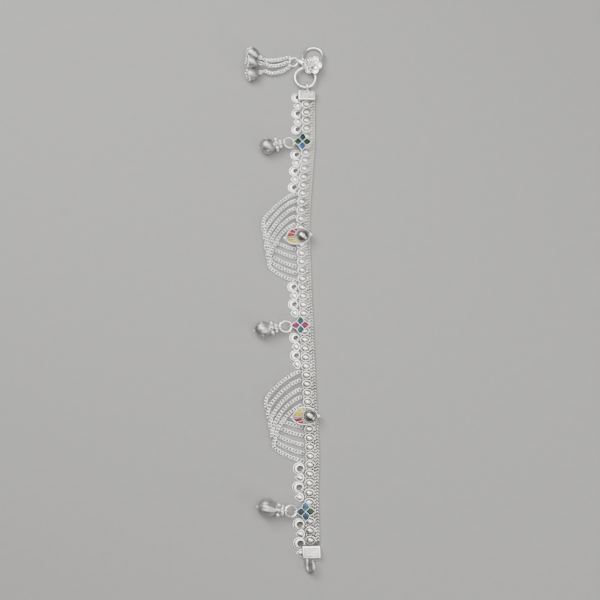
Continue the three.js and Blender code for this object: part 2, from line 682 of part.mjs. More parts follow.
// Tassel bell along -X from its loop at the origin: flat loop, round body and a ring of granules
function tasselBell() {
  const r = tasselBellDiameter / 2;
  const hole = linkWire / 2 + clearance;
  const loopWire = 0.6;
  const loop = flatRing(2 * (hole + loopWire), loopWire, 10, 5);
  const top = -(hole + loopWire * 0.6);
  const profile = [[0, 0], [0.5, 0.05], [0.84, 0.2], [1, 0.44], [0.9, 0.72], [0.5, 0.95], [0.2, 1], [0, 1]];
  const body = turned(profile.map(([x, y]) => [x * r, y * tasselBellLength]), 10).rotateY(Math.PI / 2)
    .translate(top - tasselBellLength, 0, 0);
  const granules = [];
  const granule = 1.1;
  const count = 8;
  for (let i = 0; i < count; i += 1) {
    const angle = (2 * Math.PI * i) / count;
    const [y, z] = [Math.cos(angle) * r * 0.86, Math.sin(angle) * r * 0.86];
    granules.push(ball(granule, top - tasselBellLength * 0.8, y, z));
  }
  return join([body, loop, ...granules]);
}

// A strand is a fine chain between two links, one round the tassel ring and one through the bell's loop
function tassel() {
  const bellGeometry = tasselBell();
  const origin = new THREE.Vector3(tasselRingAt.x, tasselRingAt.y, 0);
  const bellHole = linkWire / 2 + clearance;
  for (const strand of strands) {
    const angle = THREE.MathUtils.degToRad(strand.leaves);
    const start = new THREE.Vector3(
      tasselRingAt.x + tasselRadius * Math.cos(angle) * Math.cos(tasselTilt),
      tasselRingAt.y + tasselRadius * Math.sin(angle),
      tasselRingAt.z + tasselRadius * Math.cos(angle) * Math.sin(tasselTilt),
    );
    const shift = (point) => new THREE.Vector3(...point).add(origin);
    const loop = shift(strand.loop);
    const bellCentre = shift(strand.bell);
    const outward = bellCentre.clone().sub(loop).normalize();
    const hold = loop.clone().addScaledVector(outward, -(bellHole + 0.3));
    const away = new THREE.Vector3(Math.cos(angle), Math.sin(angle), 0);
    const route = new THREE.CatmullRomCurve3([
      start, start.clone().addScaledVector(away, 1.6), ...strand.passes.map(shift),
      hold.clone().addScaledVector(outward, -1.6), hold,
    ]);
    const total = route.getLength();
    const linkLength = linkWidth + linkWire;
    const slack = linkLength / 2 - linkWire - tasselRingWire / 2 - clearance;
    const ends = [slack, total - slack].map((along) => {
      const at = route.getPointAt(along / total);
      const way = route.getTangentAt(along / total);
      return new THREE.TorusGeometry((linkWidth - linkWire) / 2, linkWire / 2, 5, 10)
        .scale((linkLength - linkWire) / (linkWidth - linkWire), 1, 1)
        .rotateX(Math.PI / 2).rotateY(-Math.asin(way.z)).rotateZ(Math.atan2(way.y, way.x))
        .translate(at.x, at.y, at.z);
    });
    const hidden = slack + linkLength / 2 - linkWire * 0.7;
    const middle = [];
    const spans = 6;
    for (let i = 0; i <= spans; i += 1) {
      middle.push(route.getPointAt((hidden + ((total - 2 * hidden) * i) / spans) / total));
    }
    const tube = sweep(new THREE.CatmullRomCurve3(middle), strandWidth, strandWidth, 8, spans);
    piece(`tassel_chain_${strand.name}`, join([tube, ...ends]), polished, 0.25);
    const bell = piece(`tassel_bell_${strand.name}`, bellGeometry, oxidised, 0.2);
    bell.position.copy(loop);
    bell.rotation.order = 'ZYX';
    bell.rotation.z = Math.atan2(-outward.y, -outward.x);
    bell.rotation.y = Math.asin(outward.z);
  }
}

wovenBand();
studRow();
edgeCharms();
starsAndDrops();
mangoMotifs();
swagChains();
ringEndCap();
hookEndCap();
claspRings();
flowerAndSecondRing();
tassel();

// The origin is the middle of the anklet's footprint, on the surface that it lies on
anklet.updateMatrixWorld(true);
const reach = new THREE.Box3().setFromObject(anklet, true);
anklet.position.set(-(reach.min.x + reach.max.x) / 2, -(reach.min.y + reach.max.y) / 2, -reach.min.z);
const part = new THREE.Group();
part.add(anklet);

export default part;
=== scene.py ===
# Payal anklet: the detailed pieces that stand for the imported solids, their finishes, the light and
# the camera.
# Shapes are made in millimetres in the layout's own frame, where the ring end of the woven edge is the
# start, and settle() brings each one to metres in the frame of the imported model.
from math import asin, atan2, cos, pi, radians, sin, sqrt

import bmesh
import bpy
import numpy as np
from mathutils import Matrix, Vector


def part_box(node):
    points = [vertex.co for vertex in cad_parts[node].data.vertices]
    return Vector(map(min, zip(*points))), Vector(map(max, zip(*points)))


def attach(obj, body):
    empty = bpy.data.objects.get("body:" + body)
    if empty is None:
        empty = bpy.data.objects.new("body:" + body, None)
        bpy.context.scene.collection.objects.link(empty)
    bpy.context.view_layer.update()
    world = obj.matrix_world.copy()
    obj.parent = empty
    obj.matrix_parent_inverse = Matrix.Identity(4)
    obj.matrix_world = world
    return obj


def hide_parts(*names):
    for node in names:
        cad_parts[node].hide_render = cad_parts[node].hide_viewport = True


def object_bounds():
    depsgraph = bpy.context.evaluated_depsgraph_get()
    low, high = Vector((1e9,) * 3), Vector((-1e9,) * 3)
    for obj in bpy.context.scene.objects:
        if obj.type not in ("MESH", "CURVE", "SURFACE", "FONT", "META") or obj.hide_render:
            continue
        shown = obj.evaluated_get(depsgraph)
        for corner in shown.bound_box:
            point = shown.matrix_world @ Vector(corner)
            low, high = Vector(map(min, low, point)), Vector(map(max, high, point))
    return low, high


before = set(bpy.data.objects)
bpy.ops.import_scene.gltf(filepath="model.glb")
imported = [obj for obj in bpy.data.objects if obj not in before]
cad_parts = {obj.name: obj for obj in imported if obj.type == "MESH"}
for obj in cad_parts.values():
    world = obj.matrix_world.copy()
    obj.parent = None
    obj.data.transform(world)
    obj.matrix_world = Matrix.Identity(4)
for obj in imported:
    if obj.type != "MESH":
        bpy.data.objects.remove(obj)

CAD_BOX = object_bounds()
MM = 0.001

# Driving sizes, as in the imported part
CLEARANCE = 0.3
UNIT = 4.4
BAND_LENGTH = UNIT * 53.6
BAND_WIDTH = 7.0
BAND_THICK = 1.6
STUD_INSET = 4.6
STUD_BASE = BAND_THICK + CLEARANCE
STUD_HEIGHT = 1.3
STUD_ROOM = 3.9
STUD_LONG = 4.85
STUD_WIDE = 4.15
PLATE_BASE = STUD_BASE + STUD_HEIGHT + CLEARANCE
CAP_WIDTH = 8.8
CAP_HEIGHT = 3.4
RING_CAP = 5.1
HOOK_CAP = 5.9
BARE_START = RING_CAP + CLEARANCE
BARE_END = BAND_LENGTH - HOOK_CAP - CLEARANCE
DISC = 5.1
LEAF_LONG = 4.0
LEAF_WIDE = 4.6
CHARM_HIGH = 1.5
LUG = 1.6
STAR_INSET = 6.5
STAR_SPAN = 9.6
DOME = 6.0
DOME_INSET = 3.7
MOTIF_REACH = 9.1
RING = 12.4
RING_WIRE = 1.6
EYE_WIRE = 1.4
TASSEL_RING = 5.4
TASSEL_WIRE = 0.7
LINK_WIRE = 0.5
DROP_BELL = 8.2
DROP_WIRE = 0.8
DROP_RING_WIDE = 6.2
CROWN_BALL = 2.0
HOOK_WIRE = 2.4
HOOK_REACH = 7.2
HOOK_GAP = 1.7
SWAG_WIDE = 1.9
SWAG_THICK = 1.1
CURB_TWIST = 46

# Woven edge of the band: share of the length from the ring end, sway to +X
BAND_ROUTE = [
    (0, 2.0), (0.12, 1.8), (0.21, 0.35), (0.3, -0.9), (0.4, -0.3), (0.55, 1.0),
    (0.7, 2.6), (0.8, 3.6), (0.865, 3.1), (0.93, 3.4), (1, 3.95),
]
# Runs of edge charms: place of the first, in stud pitches, how many, and the size of the run's charms
CHARM_RUNS = [(0.72, 5, 1), (7.95, 5, 1), (23.55, 4, 1), (29.4, 4, 1), (44.15, 4, 1.12), (50.02, 4, 1.12)]
# Place of each motif in stud pitches, and its turn
MOTIFS = {"ring_side": (17.74, 8), "hook_side": (38.3, 0)}


# Routes

def smooth_route(points, steps=24):
    """Points along a centripetal curve through the given ones, with an even spacing."""
    given = [np.array(p, float) for p in points]
    given = [2 * given[0] - given[1]] + given + [2 * given[-1] - given[-2]]
    dense = []
    for p0, p1, p2, p3 in zip(given, given[1:], given[2:], given[3:]):
        d0, d1, d2 = (max(np.sum((b - a) ** 2) ** 0.25, 1e-4) for a, b in ((p0, p1), (p1, p2), (p2, p3)))
        t1 = ((p1 - p0) / d0 - (p2 - p0) / (d0 + d1) + (p2 - p1) / d1) * d1
        t2 = ((p2 - p1) / d1 - (p3 - p1) / (d1 + d2) + (p3 - p2) / d2) * d1
        square = 3 * (p2 - p1) - 2 * t1 - t2
        cube = 2 * (p1 - p2) + t1 + t2
        for k in range(steps):
            w = k / steps
            dense.append(p1 + t1 * w + square * w ** 2 + cube * w ** 3)
    dense.append(given[-2])
    return np.array(dense)


class Route:
    """A curve that gives its point and its direction at a length along it."""

    def __init__(self, points):
        self.dense = smooth_route(points)
        spans = np.linalg.norm(np.diff(self.dense, axis=0), axis=1)
        self.along = np.concatenate([[0], np.cumsum(spans)])
        self.length = float(self.along[-1])

    def at(self, along):
        return Vector([float(np.interp(along, self.along, self.dense[:, k])) for k in range(3)])

    def way(self, along, reach=0.15):
        low = max(0.0, along - reach)
        high = min(self.length, along + reach)
        return (self.at(high) - self.at(low)).normalized()

    def frame(self, along, roll=0.0):
        """Matrix with X along the route, Y level across it and Z up, rolled about X."""
        x = self.way(along)
        y = Vector((0, 0, 1)).cross(x).normalized()
        z = x.cross(y)
        turn = Matrix((x, y, z)).transposed().to_4x4()
        return Matrix.Translation(self.at(along)) @ turn @ Matrix.Rotation(roll, 4, "X")


EDGE = Route([(sway, -share * BAND_LENGTH, 0) for share, sway in BAND_ROUTE])


def on_band(along, inset, z=0.0, turn=0.0):
    """Matrix of a piece beside the band: X to the woven edge, Y to the ring end."""
    on_edge = min(max(along, 0), BAND_LENGTH) / BAND_LENGTH * EDGE.length
    at = EDGE.at(on_edge)
    way = EDGE.way(on_edge)
    place = Vector((at.x + way.y * inset, at.y - way.x * inset, z))
    return Matrix.Translation(place) @ Matrix.Rotation(atan2(way.x, -way.y) + turn, 4, "Z")


def bare_band(inset, z):
    """Matrices along the band between its caps, at an inset from its woven edge."""
    run = BARE_END - BARE_START
    route = Route([on_band(BARE_START + run * i / 40, inset, z).translation for i in range(41)])
    return [route.frame(route.length * i / 90) for i in range(91)]


RING_RADIUS = (RING - RING_WIRE) / 2
EYE_HOLE = RING_WIRE / 2 + CLEARANCE
EYE_OUTER = EYE_HOLE + EYE_WIRE
RING_END = on_band(0, 0).translation
EYE_AT = Vector((-4.1, EYE_OUTER - 0.4, EYE_OUTER))
FIRST_RING_AT = RING_END + EYE_AT + RING_RADIUS * Vector((cos(radians(101)), sin(radians(101)), 0))

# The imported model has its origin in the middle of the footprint: its first ring gives the shift
ring_low, ring_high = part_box("first_ring")
SHIFT = (ring_low + ring_high) / 2 / MM - FIRST_RING_AT
SHIFT.z = 0
TO_FRAME = Matrix.Scale(MM, 4) @ Matrix.Translation(SHIFT)


# Finishes

def linear(hex_colour, alpha=1.0):
    """sRGB hex colour as linear RGBA."""
    parts = [int(hex_colour[i:i + 2], 16) / 255 for i in (1, 3, 5)]
    return tuple(p / 12.92 if p <= 0.04045 else ((p + 0.055) / 1.055) ** 2.4 for p in parts) + (alpha,)


def add_node(tree, kind, settings=(), **links):
    """Adds a node: settings are (name or socket number, value), links are socket=(node, output)."""
    node = tree.nodes.new(kind)
    for key, value in settings:
        if isinstance(key, str) and hasattr(node, key):
            setattr(node, key, value)
        else:
            node.inputs[key].default_value = value
    for key, (source, output) in links.items():
        tree.links.new(source.outputs[output], node.inputs[key.replace("_", " ")])
    return node


def metal(name, light, dark, roughness, grain_mm, bump_mm, patch_mm=6.0, spread=0.12):
    """A silver finish: two tones in soft patches, uneven roughness and a fine surface grain."""
    material = bpy.data.materials.new(name)
    material.use_nodes = True
    tree = material.node_tree
    tree.nodes.clear()
    where = add_node(tree, "ShaderNodeTexCoord")
    patch = add_node(tree, "ShaderNodeTexNoise", [("Scale", 1 / (patch_mm * MM)), ("Detail", 4.0)],
                     Vector=(where, "Object"))
    tone = add_node(tree, "ShaderNodeValToRGB", Fac=(patch, "Fac"))
    tone.color_ramp.elements[0].position = 0.32
    tone.color_ramp.elements[0].color = linear(dark)
    tone.color_ramp.elements[1].position = 0.6
    tone.color_ramp.elements[1].color = linear(light)
    grain = add_node(tree, "ShaderNodeTexNoise", [("Scale", 1 / (grain_mm * MM)), ("Detail", 2.0)],
                     Vector=(where, "Object"))
    rough = add_node(tree, "ShaderNodeMapRange",
                     [("To Min", roughness - spread / 2), ("To Max", roughness + spread)],
                     Value=(patch, "Fac"))
    bump = add_node(tree, "ShaderNodeBump", [("Strength", 0.6), ("Distance", bump_mm * MM)],
                    Height=(grain, "Fac"))
    shader = add_node(tree, "ShaderNodeBsdfPrincipled", [("Metallic", 1.0)], Base_Color=(tone, "Color"),
                      Roughness=(rough, "Result"), Normal=(bump, "Normal"))
    add_node(tree, "ShaderNodeOutputMaterial", Surface=(shader, "BSDF"))
    return material


def enamel(name, deep, pale, patch_mm=1.4):
    """Fired glass over silver, deeper in some parts of the cell than in others. Its shine is kept low,
    or the large lamps wash out the colour."""
    material = bpy.data.materials.new(name)
    material.use_nodes = True
    tree = material.node_tree
    tree.nodes.clear()
    where = add_node(tree, "ShaderNodeTexCoord")
    patch = add_node(tree, "ShaderNodeTexNoise", [("Scale", 1 / (patch_mm * MM)), ("Detail", 3.0)],
                     Vector=(where, "Object"))
    tone = add_node(tree, "ShaderNodeValToRGB", Fac=(patch, "Fac"))
    tone.color_ramp.elements[0].position = 0.38
    tone.color_ramp.elements[0].color = linear(deep)
    tone.color_ramp.elements[1].position = 0.72
    tone.color_ramp.elements[1].color = linear(pale)
    bump = add_node(tree, "ShaderNodeBump", [("Strength", 0.3), ("Distance", 0.05 * MM)],
                    Height=(patch, "Fac"))
    shader = add_node(tree, "ShaderNodeBsdfPrincipled", [("Roughness", 0.25), ("Specular IOR Level", 0.2)],
                      Base_Color=(tone, "Color"), Normal=(bump, "Normal"))
    add_node(tree, "ShaderNodeOutputMaterial", Surface=(shader, "BSDF"))
    return material


# Acid-whitened silver, stamped: white and soft, with a satin grain of 0.12 mm
FROSTED = metal("white_frosted_silver", "#fbfaf6", "#e9e7e1", 0.36, 0.12, 0.015)
# The same silver where it lies deep, in grooves, hollows and between the stitches: grey and dull.
# The grey is tarnish and painted shade for these recesses
GROOVE_TARNISH_AND_SHADE = metal("groove_tarnish_and_painted_shade", "#6b6862", "#48453f", 0.55, 0.15, 0.02)
# Wire and links polished after soldering: a bright, soft shine, with drawing marks of 0.3 mm
POLISHED = metal("polished_silver_wire", "#fdfcfa", "#f3f2ee", 0.3, 0.3, 0.004, spread=0.06)
# Cast bells, the hook and the panel under the blossoms: grey, in patches of about 3 mm. On the bells
# and the hook the grey is painted reflection of dark surroundings; in the sunk panel it is painted shade
GREY_SILVER_PAINTED_REFLECTION_AND_SHADE = metal("grey_silver_painted_reflection_and_shade", "#c4c3c1", "#918f8b", 0.43, 0.5, 0.01, patch_mm=3.0, spread=0.1)
# Domes of the motifs: the darkest silver, its darkness painted reflection of dark surroundings, and
# the smoothest, so that lamps show in it
DOME_SILVER_PAINTED_REFLECTION = metal("dome_silver_painted_dark_reflection", "#b4b2ae", "#7e7c79", 0.26, 0.5, 0.006, patch_mm=4.0, spread=0.06)
# Panel of the hook's cap, struck with a small hammer: greyer, with dents about 0.7 mm apart
HAMMERED = metal("hammered_white_silver", "#d2d0ca", "#a6a49d", 0.38, 0.7, 0.14)


# Shapes

def wire_ring(radius, wire, turns=36, around=10):
    """A ring of round wire, flat about Z."""
    bm = bmesh.new()
    section = Matrix.Translation((radius, 0, 0)) @ Matrix.Rotation(pi / 2, 4, "X")
    bmesh.ops.create_circle(bm, cap_ends=False, segments=around, radius=wire / 2, matrix=section)
    bmesh.ops.spin(bm, geom=bm.verts[:] + bm.edges[:], cent=(0, 0, 0), axis=(0, 0, 1),
                   angle=2 * pi, steps=turns, use_merge=True)
    bmesh.ops.recalc_face_normals(bm, faces=bm.faces[:])
    return bm


def turned(profile, steps=32):
    """A body turned about Z from a profile of radius and height, both ends on the axis."""
    bm = bmesh.new()
    last = None
    for radius, height in profile:
        vert = bm.verts.new((radius, 0, height))
        if last is not None:
            bm.edges.new((last, vert))
        last = vert
    bmesh.ops.spin(bm, geom=bm.verts[:] + bm.edges[:], cent=(0, 0, 0), axis=(0, 0, 1),
                   angle=2 * pi, steps=steps, use_merge=True)
    bmesh.ops.remove_doubles(bm, verts=bm.verts[:], dist=1e-4)
    bmesh.ops.recalc_face_normals(bm, faces=bm.faces[:])
    return bm


def ball(diameter, at=(0, 0, 0), stretch=(1, 1, 1), around=12, rows=8):
    bm = bmesh.new()
    bmesh.ops.create_uvsphere(bm, u_segments=around, v_segments=rows, radius=diameter / 2,
                              matrix=Matrix.Translation(at) @ Matrix.Diagonal((*stretch, 1)))
    return bm


def struck(outline, wall, steps, paint):
    """A stamped plate: its outline is raised by wall, then stepped inwards by (width, rise, shift to +X).
    paint gives the finish number of the steps that don't have the first one."""
    bm = bmesh.new()
    face = bm.faces.new([bm.verts.new((x, y, 0)) for x, y in outline])
    face.normal_update()
    if face.normal.z < 0:
        face.normal_flip()
    top = bmesh.ops.extrude_face_region(bm, geom=[face])["geom"]
    lifted = [g for g in top if isinstance(g, bmesh.types.BMVert)]
    bmesh.ops.translate(bm, verts=lifted, vec=(0, 0, wall))
    inner = [g for g in top if isinstance(g, bmesh.types.BMFace)][0]
    for number, (width, rise, shift) in enumerate(steps):
        ring = bmesh.ops.inset_region(bm, faces=[inner], thickness=0.001, depth=0,
                                      use_even_offset=False)["faces"]
        spans = []
        for axis in (0, 1):
            values = [vert.co[axis] for vert in inner.verts]
            spans.append(((max(values) + min(values)) / 2, 1 - 2 * width / (max(values) - min(values))))
        for vert in inner.verts:
            for axis, (middle, share) in enumerate(spans):
                vert.co[axis] = middle + (vert.co[axis] - middle) * share
            vert.co += Vector((shift, 0, rise))
        for part in ring:
            part.material_index = paint.get(number, 0)
        inner.material_index = paint.get(number, 0)
    bmesh.ops.poke(bm, faces=[inner])
    bmesh.ops.recalc_face_normals(bm, faces=bm.faces[:])
    return bm


def swept(matrices, across, high, around=12):
    """An oval section carried from matrix to matrix, X along the way, with closed ends."""
    bm = bmesh.new()
    section = Matrix.Diagonal((1, across / 2, high / 2, 1)) @ Matrix.Rotation(pi / 2, 4, "Y")
    bmesh.ops.create_circle(bm, cap_ends=False, segments=around, radius=1, matrix=matrices[0] @ section)
    edges = bm.edges[:]
    bmesh.ops.holes_fill(bm, edges=edges)
    for before, after in zip(matrices, matrices[1:]):
        grown = bmesh.ops.extrude_edge_only(bm, edges=edges)["geom"]
        edges = [g for g in grown if isinstance(g, bmesh.types.BMEdge)]
        moved = [g for g in grown if isinstance(g, bmesh.types.BMVert)]
        bmesh.ops.transform(bm, matrix=after @ before.inverted(), verts=moved)
    bmesh.ops.holes_fill(bm, edges=edges)
    bmesh.ops.recalc_face_normals(bm, faces=bm.faces[:])
    return bm


def gather(parts):
    """One shape from (shape, matrices, finish number) rows: each shape is set down once per matrix."""
    whole = bmesh.new()
    for shape, matrices, finish in parts:
        if finish is not None:
            for face in shape.faces:
                face.material_index = finish
        unit = bpy.data.meshes.new("unit")
        shape.to_mesh(unit)
        shape.free()
        for matrix in matrices:
            copy = unit.copy()
            copy.transform(matrix)
            whole.from_mesh(copy)
            bpy.data.meshes.remove(copy)
        bpy.data.meshes.remove(unit)
    return whole


def settle(shape, name, finishes, nodes, sharp=38):
    """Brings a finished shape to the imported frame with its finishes, and lets it stand for its nodes."""
    bmesh.ops.transform(shape, matrix=TO_FRAME, verts=shape.verts)
    mesh = bpy.data.meshes.new(name)
    shape.to_mesh(mesh)
    shape.free()
    mesh.shade_smooth()
    mesh.set_sharp_from_angle(angle=radians(sharp))
    for finish in finishes:
        mesh.materials.append(finish)
    piece = bpy.data.objects.new(name, mesh)
    bpy.context.scene.collection.objects.link(piece)
    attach(piece, "root")
    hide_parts(*nodes)


def settle_wire(shape, name, node):
    """Settles a piece that is round wire all over."""
    settle(shape, name, [POLISHED], [node], sharp=80)


HERE = [Matrix.Identity(4)]


def move(x=0.0, y=0.0, z=0.0):
    return Matrix.Translation((x, y, z))


def spin_z(angle):
    return Matrix.Rotation(radians(angle), 4, "Z")


# Woven band: oblique stitches in six columns, alternately slanted, round a dull core: its grey is
# tarnish and painted shade between the stitches

def woven_band():
    columns = 6
    pitch = UNIT / 3
    column = BAND_WIDTH / columns
    rows = int((BARE_END - BARE_START) / pitch)
    slant = 47
    last = BARE_END - 0.7
    stitches = []
    for k in range(columns):
        lean = slant if k % 2 else -slant
        for i in range(rows):
            along = min(BARE_START + pitch * (i + 0.5 + 0.25 * (k % 2)), last)
            stitches.append(on_band(along, column * (k + 0.5), BAND_THICK / 2) @ spin_z(lean))
    stitch = ball(1, stretch=(2.0, 0.84, BAND_THICK * 1.02), around=8, rows=5)
    core = swept(bare_band(BAND_WIDTH / 2, BAND_THICK / 2), BAND_WIDTH * 0.92, BAND_THICK * 0.62, around=8)
    return gather([(stitch, stitches, 0), (core, HERE, 1)])


settle(woven_band(), "woven_band_foxtail", [FROSTED, GROOVE_TARNISH_AND_SHADE], ["woven_band"], sharp=60)


# Studs: an eye with its point to the woven edge, a thin rim, a dome and granules

def eye_outline(long, wide, count=22):
    """An oval that narrows to its point at +X."""
    points = []
    for i in range(count):
        angle = 2 * pi * i / count
        x = cos(angle)
        y = sin(angle) * (1 - 0.34 * max(x, 0) ** 2)
        points.append((x * long / 2 * (1.0 if x < 0 else 1.06), y * wide / 2))
    return points


def stud_row():
    steps = [(0.1, 0.14, 0), (0.22, 0.04, 0), (0.12, -0.36, 0), (0.3, 0.0, 0), (0.14, 0.4, 0),
             (0.3, 0.34, 0), (0.36, 0.16, 0)]
    # The sunk ring round each dome (steps 2 and 3) is painted grey: tarnish and painted shade
    stud = struck(eye_outline(STUD_LONG, STUD_WIDE), 0.45, steps, {2: 1, 3: 1})
    granule = ball(0.62, around=8, rows=5)
    first = BARE_START + STUD_ROOM / 2
    last = BARE_END - STUD_ROOM / 2
    count = int((last - first) // UNIT) + 1
    places = []
    granules = []
    for i in range(count):
        along = first + i * UNIT
        # A motif's dome takes the place of the stud beneath it
        if any(abs(at * UNIT - along) < DOME * 0.3 for at, _ in MOTIFS.values()):
            continue
        place = on_band(along, STUD_INSET, STUD_BASE)
        places.append(place)
        for spot in ((-0.55, -0.1, 1.12), (0.45, 0.45, 1.08), (0.35, -0.5, 1.08)):
            granules.append(place @ move(*spot))
    # The rail beneath the studs is painted grey: tarnish and painted shade under the studs
    rail = swept(bare_band(STUD_INSET, STUD_BASE + 0.25), 1.8, 0.5, around=8)
    return gather([(stud, places, None), (granule, granules, 0), (rail, HERE, 1)])


settle(stud_row(), "stamped_stud_row", [FROSTED, GROOVE_TARNISH_AND_SHADE], ["stud_row"])


# Edge charms

def disc_charm(diameter):
    """Bright rim, groove, inner ridge, and a deep hollow pressed far to the band's side, with its ball."""
    r = diameter / 2
    outline = [(cos(a) * r, sin(a) * r) for a in (2 * pi * i / 28 for i in range(28))]
    steps = [(0.1, 0.16, 0), (0.3, 0.04, 0), (0.08, -0.5, 0.05), (0.26, 0, 0.08), (0.08, 0.5, 0.05),
             (0.5, 0.08, 0.42), (0.08, -0.5, 0.05), (0.34, -0.2, 0.02)]
    # The groove and the deep hollow (steps 2, 3, 6 and 7) are painted grey: tarnish and painted shade
    disc = struck(outline, CHARM_HIGH - 0.55, steps, {2: 1, 3: 1, 6: 1, 7: 1})
    lug = ball(LUG, at=(diameter / 2 - LUG / 2, -diameter * 0.2, LUG * 0.6))
    return gather([(disc, HERE, None), (lug, HERE, 0)])


def leaf_charm(long):
    """A V of bright rim round a groove painted dark, tarnish and painted shade, and a small leaf, its tip
    away from the band.
    """
    half = [(0.0, 0.0), (0.2, 0.42), (0.4, 0.78), (0.6, 0.97), (0.8, 0.93), (0.94, 0.62), (1.0, 0.3)]
    whole = half + [(x, -y) for x, y in reversed(half[1:])]
    outline = [((x - 0.5) * long, y * LEAF_WIDE / 2 * LEAF_LONG / long) for x, y in whole][::-1]
    steps = [(0.08, 0.2, 0), (0.34, 0.03, 0), (0.08, -0.55, 0.05), (0.4, 0, 0.12), (0.08, 0.5, 0.04),
             (0.24, 0.12, 0.06), (0.2, 0.08, 0)]
    return gather([(struck(outline, CHARM_HIGH - 0.6, steps, {2: 1, 3: 1}), HERE, None)])


def make_room(shape, x_from, y_from, y_to):
    """Takes away what lies in a cap's room, in the charm's own frame, and closes the cut."""
    cuts = (((x_from, 0, 0), (1, 0, 0)), ((0, y_from, 0), (0, 1, 0)), ((0, y_to, 0), (0, 1, 0)))
    for point, normal in cuts:
        bmesh.ops.bisect_plane(shape, geom=shape.verts[:] + shape.edges[:] + shape.faces[:], dist=1e-5,
                               plane_co=point, plane_no=normal)
    doomed = []
    for face in shape.faces:
        centre = face.calc_center_median()
        if centre.x > x_from and y_from < centre.y < y_to:
            doomed.append(face)
    bmesh.ops.delete(shape, geom=doomed, context="FACES")
    bmesh.ops.holes_fill(shape, edges=[e for e in shape.edges if e.is_boundary])
    return shape


def edge_charms():
    number = 0
    for first, count, size in CHARM_RUNS:
        kinds = (("round", disc_charm, DISC * size), ("pointed", leaf_charm, LEAF_LONG * size))
        for i in range(count):
            kind, shape_of, long = kinds[i % 2]
            half = long / 2 if kind == "round" else LEAF_WIDE / 2
            inset = BAND_WIDTH + CLEARANCE + long / 2
            along = (first + i) * UNIT
            shape = shape_of(long)
            to_ring_cap = BARE_START - along
            to_hook_cap = BARE_END - along
            side = inset - CAP_WIDTH - CLEARANCE
            if to_ring_cap > -half:
                make_room(shape, side, -to_ring_cap, half + 1)
            if to_hook_cap < half:
                make_room(shape, side, -half - 1, -to_hook_cap)
            number += 1
            name = f"edge_charm_{number:02d}_{kind}"
            bmesh.ops.transform(shape, matrix=on_band(along, inset), verts=shape.verts)
            settle(shape, f"{name}_struck", [FROSTED, GROOVE_TARNISH_AND_SHADE], [name])


edge_charms()


# Curb chains

def curb_link(long, wide, wire, twist, turns=12, around=6):
    """A chain link twisted so that its two ends stand across each other."""
    bm = wire_ring((wide - wire) / 2, wire, turns, around)
    stretch = (long - wire) / (wide - wire)
    half = long / 2
    for vert in bm.verts:
        x = vert.co.x * stretch
        angle = radians(twist) * x / half
        y, z = vert.co.y, vert.co.z
        vert.co = (x, y * cos(angle) - z * sin(angle), y * sin(angle) + z * cos(angle))
    return bm


# First and last chain of a swag: share of the way down, share of its reach outwards, layer
SWAG_FIRST = [
    (0, 0, .35), (.07, .24, 1), (.18, .5, 1), (.36, .8, 1), (.5, .97, 1.3),
    (.63, .99, .5), (.75, .88, 0), (.86, .64, 0), (.94, .34, 0), (1, 0, 0),
]
SWAG_LAST = [
    (0, 0, .35), (.07, .24, 1), (.18, .5, 1), (.38, .77, 1), (.58, .93, 1.3),
    (.73, .99, .5), (.82, .82, 0), (.9, .56, 0), (.96, .28, 0), (1, 0, 0),
]
# Side, upper and lower ends in stud pitches, reach of the first and the last chain
SWAGS = [
    ("ring_side", [12.65, 13.5, 14.4, 15.35, 16.25], [19.12, 20.11, 21.18, 21.98, 22.85], (17.0, 14.0)),
    ("hook_side", [33.21, 34.17, 35.2, 36.05, 37.0], [39.43, 40.4, 41.45, 42.38, 43.3], (18.0, 14.8)),
]
SWAG_PITCH = 1.5
SWAG_WIRE = 0.58
SWAG_END = 1.0


def swag_routes(upper, lower, reach):
    inset = BAND_WIDTH + 2 * CLEARANCE
    rise = SWAG_THICK + 1.7 * CLEARANCE
    for i, (high, low) in enumerate(zip(upper, lower)):
        share = i / (len(upper) - 1)
        start = on_band(high * UNIT, inset).translation
        end = on_band(low * UNIT, inset).translation
        out = reach[0] + (reach[1] - reach[0]) * share
        points = []
        for first, last in zip(SWAG_FIRST, SWAG_LAST):
            down, aside, layer = (a + (b - a) * share for a, b in zip(first, last))
            at = start.lerp(end, down)
            points.append((at.x - out * aside, at.y, SWAG_THICK / 2 + CLEARANCE / 2 + layer * rise))
        yield Route(points)


def swag_chains():
    for side, upper, lower, reach in SWAGS:
        for number, route in enumerate(swag_routes(upper, lower, reach), 1):
            count = round((route.length - SWAG_END) / SWAG_PITCH)
            step = (route.length - 2 * SWAG_END) / (count - 1)
            places = [route.frame(SWAG_END + step * i) for i in range(count)]
            link = curb_link(SWAG_PITCH + 1.1, SWAG_WIDE + 0.36, SWAG_WIRE, CURB_TWIST)
            name = f"swag_chain_{side}_{number}"
            settle_wire(gather([(link, places, 0)]), f"{name}_curb", name)


swag_chains()


# Drops: an enamelled star over the studs, a jump ring behind its tip, and a bell with a crown of balls

STAR_SILVER, PETAL_LEFT, PETAL_RIGHT, PETAL_UP, PETAL_DOWN = range(5)
# Place in stud pitches, turn of the drop, length of its ring; neck, ribs, balls round and size of its bell
DROPS = {
    "ring_side": (6.5, 10.5, 6.0, 3.4, 0, 10, 1.0),
    "middle": (28.05, 8.0, 6.8, 3.2, 9, 10, 1.0),
    "hook_side": (48.59, -7.0, 6.4, 2.8, 12, 0, 1.14),
}
